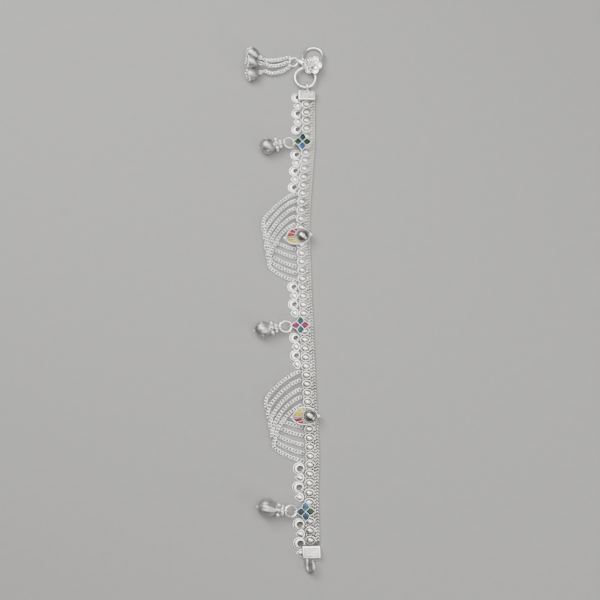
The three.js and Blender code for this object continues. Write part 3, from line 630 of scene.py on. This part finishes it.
# Deep and pale tone of the left, right, upper and lower petal: transparent greens and blues, and a rose
STAR_ENAMELS = {
    "ring_side": (("#011a0c", "#053c1c"), ("#011a0c", "#053c1c"),
                  ("#02141e", "#073242"), ("#06284a", "#24669a")),
    "middle": (("#440224", "#941454"), ("#440224", "#941454"),
               ("#021e22", "#0c4a50"), ("#032428", "#10545c")),
    "hook_side": (("#021a20", "#08363c"), ("#021e0e", "#063c1c"),
                  ("#0c283c", "#346684"), ("#04162c", "#123a5c")),
}
STAR_TIP = STAR_SPAN / 2
STAR_WAIST = 0.6
STAR_LOOP = Vector((-STAR_TIP + 0.35, 0, -(DROP_WIRE / 2 + CLEARANCE) + 0.14))
SMALL_LOOP_WIRE = 0.7


def star_outline():
    arm = ((1, 0), (0.87, 9), (0.77, 19), (0.67, 31), (STAR_WAIST, 45), (0.67, 59), (0.77, 71), (0.87, 81))
    points = []
    for quarter in range(4):
        for share, angle in arm:
            turn = radians(angle + 90 * quarter)
            points.append((cos(turn) * STAR_TIP * share, sin(turn) * STAR_TIP * share))
    return points


def petal(finish):
    """A kite of enamel in a thin silver wall, its foot at the star's middle."""
    outline = [(0.05, 0), (1.2, -1.2), (2.05, -1.78), (2.7, -1.62), (3.4, -1.15),
               (4.6, 0), (3.4, 1.15), (2.7, 1.62), (2.05, 1.78), (1.2, 1.2)]
    steps = [(0.07, 0, 0), (0.03, -0.1, 0), (0.25, 0.06, 0), (0.4, 0.05, 0), (0.5, 0.03, 0)]
    return struck(outline, 0.44, steps, {1: finish, 2: finish, 3: finish, 4: finish})


def star(name):
    """Four petals in a tray with a sunk floor, a ball at the middle and a loop behind the left tip."""
    tray = struck(star_outline(), 0.95, [(0.06, 0.1, 0), (0.1, 0, 0), (0.06, -0.3, 0), (0.3, 0, 0)],
                  {2: PETAL_LEFT, 3: PETAL_LEFT})
    floor = move(z=0.72)
    loop = wire_ring(DROP_WIRE / 2 + CLEARANCE + SMALL_LOOP_WIRE / 2, SMALL_LOOP_WIRE, 20, 8)
    parts = [
        (tray, HERE, None),
        (petal(PETAL_RIGHT), [floor], None),
        (petal(PETAL_LEFT), [spin_z(180) @ floor], None),
        (petal(PETAL_UP), [spin_z(90) @ floor], None),
        (petal(PETAL_DOWN), [spin_z(-90) @ floor], None),
        (ball(0.7, stretch=(1, 1, 0.6), around=10, rows=6), [move(z=1.15)], STAR_SILVER),
        (loop, [Matrix.Translation(STAR_LOOP) @ Matrix.Rotation(pi / 2, 4, "X")], STAR_SILVER),
    ]
    glass = [enamel(f"{name}_enamel_{part}", *pair)
             for part, pair in zip(("left", "right", "upper", "lower"), STAR_ENAMELS[name])]
    shape = gather(parts)
    place = on_band(DROPS[name][0] * UNIT, STAR_INSET, PLATE_BASE)
    bmesh.ops.transform(shape, matrix=place, verts=shape.verts)
    settle(shape, f"star_charm_{name}_enamelled", [FROSTED, *glass],
           [f"star_charm_{name}"])


def ribbed(shape, ribs, depth, full_radius):
    """Presses grooves along a turned body: none at its poles, the full depth at its widest."""
    for vert in shape.verts:
        radius = sqrt(vert.co.x ** 2 + vert.co.y ** 2)
        if radius < 1e-4:
            continue
        angle = atan2(vert.co.y, vert.co.x)
        press = depth * abs(sin(ribs * angle / 2)) ** 0.6 - depth
        grown = 1 + press * min(1, radius / full_radius * 1.6)
        vert.co.x *= grown
        vert.co.y *= grown
    return shape


def drop_bell(neck, ribs, round_it, size):
    """A bell that hangs from its loop towards -X, with a crown of two rounds of balls on its neck."""
    r = DROP_BELL / 2 * size
    loop_out = DROP_WIRE / 2 + CLEARANCE + SMALL_LOOP_WIRE
    centre = -(loop_out + neck + r)
    along = Matrix.Rotation(pi / 2, 4, "Y")
    profile = [(0, -1.02), (0.12, -1.0), (0.3, -0.94), (0.55, -0.81), (0.76, -0.62), (0.91, -0.37),
               (0.98, -0.14), (0.99, 0.1), (0.93, 0.36), (0.8, 0.6), (0.66, 0.77), (0.6, 0.86), (0.62, 1.0),
               (0.6, 1.2), (0.52, 1.3), (0.38, 1.36), (0.34, 1.6), (0.26, 1.7), (0.16, 1.74),
               (0.14, 1.05 + neck / r), (0, 1.05 + neck / r)]
    body = turned([(x * r, y * r) for x, y in profile], 48)
    if ribs:
        ribbed(body, ribs, 0.06, r)
    loop = wire_ring(loop_out - SMALL_LOOP_WIRE / 2, SMALL_LOOP_WIRE, 20, 8)
    outer, inner, equator = [], [], []
    for i in range(6):
        turn = 2 * pi * (i + 0.5) / 6
        wide = CROWN_BALL * 1.4
        outer.append(move(centre + r + CROWN_BALL * 0.4, cos(turn) * wide, sin(turn) * wide))
        turn += 0.4
        wide = CROWN_BALL * 0.85
        inner.append(move(centre + r + CROWN_BALL * 1.4, cos(turn) * wide, sin(turn) * wide))
    for i in range(round_it):
        turn = -pi / 2 + 2 * pi * (i + 0.5) / round_it
        equator.append(move(centre, cos(turn) * r * 0.93, sin(turn) * r * 0.93))
    return gather([
        (body, [move(centre) @ along], 0),
        (loop, [Matrix.Rotation(pi / 2, 4, "X")], 1),
        (ball(1.1), [move(centre - r * 1.02)], 1),
        (ball(CROWN_BALL), outer, 1),
        (ball(CROWN_BALL * 0.9), inner, 1),
        (ball(0.95), equator, 1),
    ])


def settle_bell(bell, node):
    """Settles a cast bell, grey with painted reflection, with its polished balls and loop."""
    settle(bell, f"{node}_cast", [GREY_SILVER_PAINTED_REFLECTION_AND_SHADE, POLISHED], [node], sharp=50)


def drops():
    for name, (place, turn, ring_length, neck, ribs, round_it, size) in DROPS.items():
        star(name)
        at = on_band(place * UNIT, STAR_INSET, PLATE_BASE) @ STAR_LOOP
        hang = Matrix.Translation(at) @ spin_z(turn)
        long = (ring_length - DROP_WIRE) / 2
        wide = (DROP_RING_WIDE - DROP_WIRE) / 2
        bell_radius = DROP_BELL * size / 2
        rise = asin((bell_radius - at.z) / (2 * long))
        ring = wire_ring(wide, DROP_WIRE * 1.2, 40, 10)
        stretch = Matrix.Diagonal((long / wide, 1, 1, 1))
        lean = move(-long * cos(rise), 0, long * sin(rise)) @ Matrix.Rotation(rise, 4, "Y")
        settle_wire(gather([(ring, [hang @ lean @ stretch], 0)]), f"drop_ring_{name}_round",
                    f"drop_ring_{name}")
        foot = hang @ move(-2 * long * cos(rise), 0, bell_radius - at.z)
        bell = drop_bell(neck, ribs, round_it, size)
        bmesh.ops.transform(bell, matrix=foot, verts=bell.verts)
        settle_bell(bell, f"drop_bell_{name}")


drops()


# Mango motifs: a leaf tray with enamel cells in silver walls, a collared dome and two balls

# Cells in two fans round the dome: the angles between which each one lies
UPPER_CELLS = [(118, 138), (138, 157), (157, 177)]
LOWER_CELLS = [(183, 202), (202, 222), (222, 242)]
CELL_ENAMELS = {"red": ("#4a0110", "#a01030"), "yellow": ("#7c6a02", "#ccb814")}
MOTIF_COLOURS = {"ring_side": ("red", "yellow"), "hook_side": ("yellow", "red")}


def cell(tray, first, last, finish):
    """A cell of enamel in a thin silver wall, from the dome's collar to the tray's rim."""
    turns = [atan2(y, x) % (2 * pi) for x, y in tray]
    reaches = [sqrt(x * x + y * y) - 0.45 for x, y in tray]
    first = radians(first + 0.7)
    last = radians(last - 0.7)
    outline = []
    for share in (0, 0.25, 0.5, 0.75, 1):
        turn = first + (last - first) * share
        reach = float(np.interp(turn, turns, reaches)) - 0.5 * abs(share - 0.5)
        outline.append((cos(turn) * reach, sin(turn) * reach))
    outline += [(cos(turn) * DOME * 0.68, sin(turn) * DOME * 0.68) for turn in (last, first)]
    steps = [(0.06, 0, 0), (0.03, -0.1, 0), (0.12, 0.06, 0), (0.15, 0.04, 0)]
    return struck(outline, 0.5, steps, {1: finish, 2: finish, 3: finish})


def mango_motif(name):
    """A leaf-shaped tray with its tip away from the band and the dome over the studs."""
    r = DOME / 2
    leaf = [(0.18, 0.98), (-0.02, 1.12), (-0.2, 1.2), (-0.37, 1.24), (-0.52, 1.2), (-0.66, 1.06),
            (-0.78, 0.84), (-0.9, 0.46), (-1, 0.0), (-0.94, -0.34), (-0.84, -0.62), (-0.69, -0.84),
            (-0.52, -0.98), (-0.31, -1.06), (-0.1, -1.08), (0.06, -1.02), (0.2, -0.9)]
    outline = [(x * MOTIF_REACH, y * MOTIF_REACH * 0.42) for x, y in leaf]
    # The tray's sunk groove (steps 2 and 3) is painted grey: tarnish and painted shade
    tray = struck(outline, 1.1, [(0.1, 0.1, 0), (0.16, 0, 0), (0.1, -0.35, 0), (0.3, 0, 0)], {2: 1, 3: 1})
    parts = [(tray, HERE, None)]
    for cells, finish in ((UPPER_CELLS, 3), (LOWER_CELLS, 4)):
        for first, last in cells:
            parts.append((cell(outline, first, last, finish), [move(z=0.8)], None))
    vein = ((-8.4, 0.1), (-6.2, -0.25), (-4.0, -0.3), (-2, 0))
    stem = swept([move(x, y, 1.05) for x, y in vein], 0.4, 0.7, 8)
    # The collar round the dome is painted grey: tarnish and painted shade
    collar = turned([(0, 0), (r * 1.27, 0), (r * 1.3, 0.9), (r * 1.24, 1.1), (r * 1.1, 1.0), (0, 1.0)], 36)
    # The dome is painted dark: painted reflection of dark surroundings
    dome = turned([(0, 0.9), (r * 1.04, 0.9), (r * 1.02, 1.4), (r * 0.93, 2.1), (r * 0.76, 2.7),
                   (r * 0.52, 3.15), (r * 0.25, 3.42), (0, 3.5)], 36)
    beads = [move(cos(a) * r * 1.17, sin(a) * r * 1.17, 1.3) for a in (2 * pi * i / 26 for i in range(26))]
    parts += [
        (stem, HERE, 0),
        (collar, HERE, 1),
        (dome, HERE, 2),
        (ball(0.74, around=8, rows=5), beads, 0),
        (ball(2.0), [move(-MOTIF_REACH, 0, 1.0), move(r * 1.3 + 0.3, 0, 1.0)], 0),
    ]
    shape = gather(parts)
    at, turn = MOTIFS[name]
    place = on_band(at * UNIT, DOME_INSET, PLATE_BASE, radians(turn))
    bmesh.ops.transform(shape, matrix=place, verts=shape.verts)
    upper, lower = (enamel(f"{name}_{colour}_cells", *CELL_ENAMELS[colour], patch_mm=1.0)
                    for colour in MOTIF_COLOURS[name])
    settle(shape, f"mango_motif_{name}_enamelled", [FROSTED, GROOVE_TARNISH_AND_SHADE, DOME_SILVER_PAINTED_REFLECTION, upper, lower],
           [f"mango_motif_{name}"])


for side in MOTIFS:
    mango_motif(side)


# End caps

def cap_box(length, rounding=0.45):
    bm = bmesh.new()
    place = move(-CAP_WIDTH / 2, length / 2, CAP_HEIGHT / 2)
    place @= Matrix.Diagonal((CAP_WIDTH, length, CAP_HEIGHT, 1))
    bmesh.ops.create_cube(bm, size=1, matrix=place)
    bmesh.ops.bevel(bm, geom=bm.edges[:], offset=rounding, offset_type="OFFSET", segments=3, profile=0.5,
                    affect="EDGES", material=-1)
    return bm


def framed(bm, width, depth, finish):
    """Sinks a panel into the top face, with a slope round it painted grey and dull: tarnish and painted
    shade.
    """
    top = max(bm.faces, key=lambda face: (round(face.calc_center_median().z, 3), face.calc_area()))
    bmesh.ops.inset_region(bm, faces=[top], thickness=width, depth=0)
    walls = bmesh.ops.inset_region(bm, faces=[top], thickness=0.3, depth=-depth)["faces"]
    for part in walls:
        part.material_index = 1
    top.material_index = finish
    return bm


def ring_end_cap():
    # The sunk panel is painted grey: painted shade under the blossoms
    body = framed(cap_box(RING_CAP), 0.35, 0.24, 2)
    eye = wire_ring(EYE_OUTER - EYE_WIRE / 2, EYE_WIRE, 32, 12)
    hoop = Matrix.Translation(EYE_AT) @ Matrix.Rotation(pi / 2, 4, "Y")
    # Blossoms of five granules round a sixth, in two rows of four, and a seam beside them
    granules = [move(cos(a) * 0.5, sin(a) * 0.5) for a in (2 * pi * i / 5 for i in range(5))] + HERE
    blossom = gather([(ball(1, stretch=(0.6, 0.6, 0.62), around=8, rows=5), granules, 0)])
    blossoms = []
    for row in range(2):
        for column in range(4):
            x = -CAP_WIDTH + 1.6 + column * 1.87
            blossoms.append(move(x, -RING_CAP + 2.15 + row * 1.6, CAP_HEIGHT - 0.22))
    across = (-CAP_WIDTH + 0.4, -CAP_WIDTH / 2, -0.4)
    seam = swept([move(x, -RING_CAP + 1.05, CAP_HEIGHT - 0.05) for x in across], 0.22, 0.22, 6)
    shape = gather([(body, [move(0, -RING_CAP)], None), (eye, [hoop], 0), (blossom, blossoms, 0),
                    (seam, HERE, 0)])
    bmesh.ops.transform(shape, matrix=on_band(0, 0), verts=shape.verts)
    settle(shape, "ring_end_cap_struck", [FROSTED, GROOVE_TARNISH_AND_SHADE, GREY_SILVER_PAINTED_REFLECTION_AND_SHADE], ["ring_end_cap"])


def hook_end_cap():
    """The hook goes out of the cap low, turns back over itself and ends in a ball."""
    body = framed(cap_box(HOOK_CAP), 0.7, 0.32, 2)
    r = HOOK_WIRE / 2
    apart = (HOOK_WIRE + HOOK_GAP) * sqrt(0.5)
    low = Vector((-CAP_WIDTH * 0.75, 0, r + 0.1))
    high = Vector((low.x + apart, 0, low.z + apart))
    middle = (low + high) / 2
    bend = (HOOK_WIRE + HOOK_GAP) / 2
    straight = HOOK_REACH - r - bend
    in_bend = -straight - bend * 0.71
    turn_in = low.lerp(middle, 0.3)
    turn_out = middle.lerp(high, 0.7)
    ends = -r - 2 * CLEARANCE
    route = Route([(low.x, 0.6, low.z), (low.x, -straight * 0.5, low.z), (low.x, -straight, low.z),
                   (turn_in.x, in_bend, turn_in.z), (middle.x, -straight - bend, middle.z),
                   (turn_out.x, in_bend, turn_out.z), (high.x, -straight, high.z),
                   (high.x, -straight * 0.5, high.z), (high.x, ends, high.z)])
    # The hook wire and its ball are painted grey: painted reflection of dark surroundings
    wire = swept([route.frame(route.length * i / 40) for i in range(41)], HOOK_WIRE, HOOK_WIRE, 16)
    tip = ball(HOOK_WIRE * 1.04, at=(high.x, ends, high.z), around=16, rows=10)
    nub = ball(0.9, at=(-0.75, 0.75, CAP_HEIGHT - 0.3))
    shape = gather([(body, HERE, None), (wire, HERE, 3), (tip, HERE, 3), (nub, HERE, 0)])
    bmesh.ops.transform(shape, matrix=on_band(BAND_LENGTH, 0), verts=shape.verts)
    settle(shape, "hook_end_cap_struck", [FROSTED, GROOVE_TARNISH_AND_SHADE, HAMMERED, GREY_SILVER_PAINTED_REFLECTION_AND_SHADE],
           ["hook_end_cap"])


ring_end_cap()
hook_end_cap()


# Clasp rings, flower and tassel

LUG_ANGLE = radians(62)
LUG_AT = FIRST_RING_AT + RING_RADIUS * Vector((cos(LUG_ANGLE), sin(LUG_ANGLE), 0))
FLOWER_AT = Vector((LUG_AT.x + 0.9, LUG_AT.y + 1.15, FIRST_RING_AT.z + RING_WIRE / 2 + CLEARANCE))
SECOND_RING_AT = Vector((FLOWER_AT.x + 0.5, LUG_AT.y + 1.7 + RING / 2 - RING_WIRE / 2, 0))
TASSEL_LOOP_AT = Vector((FLOWER_AT.x - 7.5, FLOWER_AT.y + 2.7, FLOWER_AT.z - 0.7))
TASSEL_RADIUS = (TASSEL_RING - TASSEL_WIRE) / 2
TASSEL_TILT = asin((TASSEL_LOOP_AT.z - 1.4) / (2 * TASSEL_RADIUS))
TASSEL_RING_AT = TASSEL_LOOP_AT - TASSEL_RADIUS * Vector((cos(TASSEL_TILT), 0, sin(TASSEL_TILT)))
LINK_LONG = 2.8
LINK_WIDE = 2.3
LINK_PITCH = 1.6


def clasp_rings():
    first = gather([(wire_ring(RING_RADIUS, RING_WIRE, 56, 14), [Matrix.Translation(FIRST_RING_AT)], 0)])
    settle_wire(first, "first_ring_round", "first_ring")
    place = Matrix.Translation(TASSEL_RING_AT) @ Matrix.Rotation(-TASSEL_TILT, 4, "Y")
    ring = gather([(wire_ring(TASSEL_RADIUS, TASSEL_WIRE, 36, 10), [place], 0)])
    settle_wire(ring, "tassel_ring_round", "tassel_ring")


# Three rounds of folded petals: how many, reach, lift, degrees that the tips rise, size, turn of the round
PETAL_ROUNDS = [(6, 3.25, 0.75, 8, 1.08, 0), (5, 2.0, 1.25, 20, 0.86, 30), (3, 0.85, 1.75, 34, 0.66, 10)]


def flower_petal():
    turns = [2 * pi * i / 20 for i in range(20)]
    outline = [(cos(a) * 1.85, sin(a) * 1.75 * (1 + 0.14 * cos(a))) for a in turns]
    # The sunk middle of each petal (step 2) is painted grey: tarnish and painted shade
    steps = [(0.12, 0.12, 0), (0.22, 0.02, 0), (0.3, -0.14, 0.1), (0.45, 0.02, 0.1), (0.3, 0.12, -0.1)]
    return struck(outline, 0.22, steps, {2: 1})


def petal_places():
    sway = Matrix.Rotation(radians(12), 4, "X")
    for count, reach, lift, rise, size, start in PETAL_ROUNDS:
        tip_up = Matrix.Rotation(-radians(rise), 4, "Y")
        for i in range(count):
            out = spin_z(start + 360 * i / count) @ move(reach, 0, lift)
            yield out @ tip_up @ sway @ Matrix.Scale(size, 4)


def flower_and_second_ring():
    """The second ring leans on the flower, which hides the lug round the first ring. Its arm carries
    the tassel's loop."""
    near = FLOWER_AT.z - RING_WIRE * 0.3
    tilt = asin((near - RING_WIRE / 2) / (2 * RING_RADIUS))
    place = move(SECOND_RING_AT.x, SECOND_RING_AT.y, RING_WIRE / 2 + RING_RADIUS * sin(tilt))
    place @= Matrix.Rotation(-tilt, 4, "X")
    lug_wire = 0.9
    lug = Matrix.Translation(LUG_AT) @ Matrix.Rotation(LUG_ANGLE, 4, "Z") @ Matrix.Rotation(pi / 2, 4, "X")
    towards = TASSEL_LOOP_AT - FLOWER_AT
    arm_turn = atan2(towards.y, towards.x)
    half = [(0, 1.6), (2.6, 1.9), (4.6, 1.7), (6.2, 1.1), (7.9, 0.6)]
    # The arm's groove (step 2) is painted grey: tarnish and painted shade
    arm = struck(half + [(x, -y) for x, y in reversed(half)], 0.7,
                 [(0.1, 0.1, 0), (0.25, 0, 0), (0.1, -0.16, 0), (0.35, 0.22, 0)], {2: 1})
    base = turned([(0, 0), (3.4, 0), (3.9, 0.45), (3.4, 0.95), (0, 1.2)], 24)
    at = Matrix.Translation(FLOWER_AT)
    loop_wire = 0.8
    loop = wire_ring(TASSEL_WIRE / 2 + CLEARANCE + loop_wire / 2, loop_wire, 24, 8)
    shape = gather([
        (wire_ring(RING_RADIUS, RING_WIRE, 56, 14), [place], 2),
        (wire_ring(EYE_HOLE + lug_wire / 2, lug_wire, 28, 10), [lug], 0),
        (arm, [at @ Matrix.Rotation(arm_turn, 4, "Z")], None),
        (loop, [Matrix.Translation(TASSEL_LOOP_AT) @ Matrix.Rotation(pi / 2, 4, "X")], 0),
        (base, [at], 0),
        (flower_petal(), [at @ petal_place for petal_place in petal_places()], None),
        (ball(1.0, stretch=(1, 1, 0.7)), [at @ move(z=2.0)], 0),
    ])
    settle(shape, "second_ring_with_flower_cast", [FROSTED, GROOVE_TARNISH_AND_SHADE, POLISHED],
           ["second_ring_with_flower"])


# Strands from the tassel ring: side each leaves by, points passed, loop of the bell, middle of the bell
STRANDS = {
    "upper": (135, [(-6.3, 1.9, 1.5), (-11.8, 1.0, 1.8)], (-17.4, 2.3, 2.8), (-22.0, 4.6, 3.4)),
    "middle": (180, [(-6.3, -1.2, 1.6), (-11.8, -2.4, 2.6)], (-17.2, -1.7, 4.8), (-22.1, -1.4, 5.9)),
    "lower": (225, [(-5.8, -4.7, 1.5), (-11.8, -6.1, 1.8)], (-17.4, -5.9, 2.8), (-22.1, -7.4, 3.4)),
}
TASSEL_BELL = 6.2
TASSEL_BELL_LONG = 7.2


def tassel_bell():
    """A bell that hangs from its loop towards -X, with balls round its rim and its tip."""
    r = TASSEL_BELL / 2
    loop_wire = 0.6
    hole = LINK_WIRE / 2 + CLEARANCE
    top = -(hole + loop_wire * 0.6)
    profile = [(0, 0), (0.26, 0.015), (0.5, 0.055), (0.7, 0.12), (0.85, 0.21), (0.96, 0.33), (1, 0.46),
               (0.98, 0.58), (0.9, 0.71), (0.76, 0.83), (0.56, 0.92), (0.34, 0.98), (0.2, 1.0), (0, 1.0)]
    body = turned([(x * r, y * TASSEL_BELL_LONG) for x, y in profile], 36)
    rim = [move(top - TASSEL_BELL_LONG * 0.8, cos(a) * r * 0.84, sin(a) * r * 0.84)
           for a in (2 * pi * i / 13 for i in range(13))]
    tip = [move(top - TASSEL_BELL_LONG * 0.95, cos(a) * r * 0.45, sin(a) * r * 0.45)
           for a in (2 * pi * (i + 0.5) / 7 for i in range(7))]
    return gather([
        (body, [move(top - TASSEL_BELL_LONG) @ Matrix.Rotation(pi / 2, 4, "Y")], 0),
        (wire_ring(hole + loop_wire / 2, loop_wire, 20, 8), HERE, 1),
        (ball(1.15, around=10, rows=6), rim, 1),
        (ball(1.1, around=10, rows=6), tip, 1),
    ])


def tassel():
    origin = Vector((TASSEL_RING_AT.x, TASSEL_RING_AT.y, 0))
    for name, (leaves, passes, loop_at, bell_at) in STRANDS.items():
        angle = radians(leaves)
        leave = Vector((cos(angle) * cos(TASSEL_TILT), sin(angle), cos(angle) * sin(TASSEL_TILT)))
        start = TASSEL_RING_AT + TASSEL_RADIUS * leave
        loop = origin + Vector(loop_at)
        outward = (Vector(bell_at) - Vector(loop_at)).normalized()
        hold = loop - outward * (LINK_WIRE / 2 + CLEARANCE + 0.3)
        away = Vector((cos(angle), sin(angle), 0))
        between = [origin + Vector(p) for p in passes]
        route = Route([start, start + away * LINK_PITCH, *between, hold - outward * LINK_PITCH, hold])
        slack = LINK_LONG / 2 - LINK_WIRE - TASSEL_WIRE / 2 - CLEARANCE
        run = route.length - 2 * slack
        count = round(run / LINK_PITCH)
        ends = [route.frame(slack, pi / 2), route.frame(route.length - slack, pi / 2)]
        chain = [route.frame(slack + run * i / count, radians(20)) for i in range(1, count)]
        plain = curb_link(LINK_LONG, LINK_WIDE, LINK_WIRE, 0, 20, 8)
        curb = curb_link(LINK_LONG, LINK_WIDE + 0.1, LINK_WIRE + 0.12, CURB_TWIST, 16, 6)
        settle_wire(gather([(plain, ends, 0), (curb, chain, 0)]), f"tassel_chain_{name}_curb",
                    f"tassel_chain_{name}")
        bell = tassel_bell()
        aside = Matrix.Rotation(atan2(-outward.y, -outward.x), 4, "Z")
        upwards = Matrix.Rotation(asin(outward.z), 4, "Y")
        bmesh.ops.transform(bell, matrix=Matrix.Translation(loop) @ aside @ upwards, verts=bell.verts)
        settle_bell(bell, f"tassel_bell_{name}")


clasp_rings()
flower_and_second_ring()
tassel()


# Floor, light and camera: the photograph looks down on the anklet at 81 degrees from 421 mm

def studio():
    # Matt paint on a studio floor, with a mottle of about 4 mm
    floor_finish = bpy.data.materials.new("pale_studio_floor")
    floor_finish.use_nodes = True
    tree = floor_finish.node_tree
    tree.nodes.clear()
    where = add_node(tree, "ShaderNodeTexCoord")
    grain = add_node(tree, "ShaderNodeTexNoise", [("Scale", 260.0), ("Detail", 3.0)],
                     Vector=(where, "Object"))
    tone = add_node(tree, "ShaderNodeValToRGB", Fac=(grain, "Fac"))
    tone.color_ramp.elements[0].color = linear("#848381")
    tone.color_ramp.elements[1].color = linear("#8b8a88")
    shader = add_node(tree, "ShaderNodeBsdfPrincipled", [("Roughness", 0.8)], Base_Color=(tone, "Color"))
    add_node(tree, "ShaderNodeOutputMaterial", Surface=(shader, "BSDF"))
    bm = bmesh.new()
    bmesh.ops.create_grid(bm, x_segments=2, y_segments=2, size=1.5)
    mesh = bpy.data.meshes.new("floor")
    bm.to_mesh(mesh)
    bm.free()
    mesh.materials.append(floor_finish)
    floor = bpy.data.objects.new("floor", mesh)
    floor.location.z = CAD_BOX[0][2] - 0.0001
    bpy.context.scene.collection.objects.link(floor)

    world = bpy.data.worlds.new("studio")
    world.use_nodes = True
    world.node_tree.nodes["Background"].inputs["Color"].default_value = linear("#c9ccd2")
    world.node_tree.nodes["Background"].inputs["Strength"].default_value = 0.28
    bpy.context.scene.world = world

    # Name, place and width in metres, power in watts
    lamps = [("window", (-0.3, 0.32, 0.55), 0.45, 6.5), ("overhead", (0.1, 0.0, 0.6), 0.6, 5.0),
             ("low_fill", (0.5, -0.35, 0.3), 0.25, 1.6)]
    for name, place, size, power in lamps:
        light = bpy.data.lights.new(name, "AREA")
        light.shape = "DISK"
        light.size = size
        light.energy = power
        lamp = bpy.data.objects.new(name, light)
        lamp.location = place
        lamp.rotation_euler = (-Vector(place)).to_track_quat("-Z", "Y").to_euler()
        bpy.context.scene.collection.objects.link(lamp)

    distance = 0.421
    raised = radians(81)
    target = Vector((-6, -110.35, 0)) * MM + SHIFT * MM
    lens = bpy.data.cameras.new("camera")
    lens.lens = 50
    lens.sensor_width = 36
    camera = bpy.data.objects.new("camera", lens)
    camera.location = target + Vector((0, -cos(raised), sin(raised))) * distance
    camera.rotation_euler = (pi / 2 - raised, 0, 0)
    bpy.context.scene.collection.objects.link(camera)
    bpy.context.scene.camera = camera


studio()
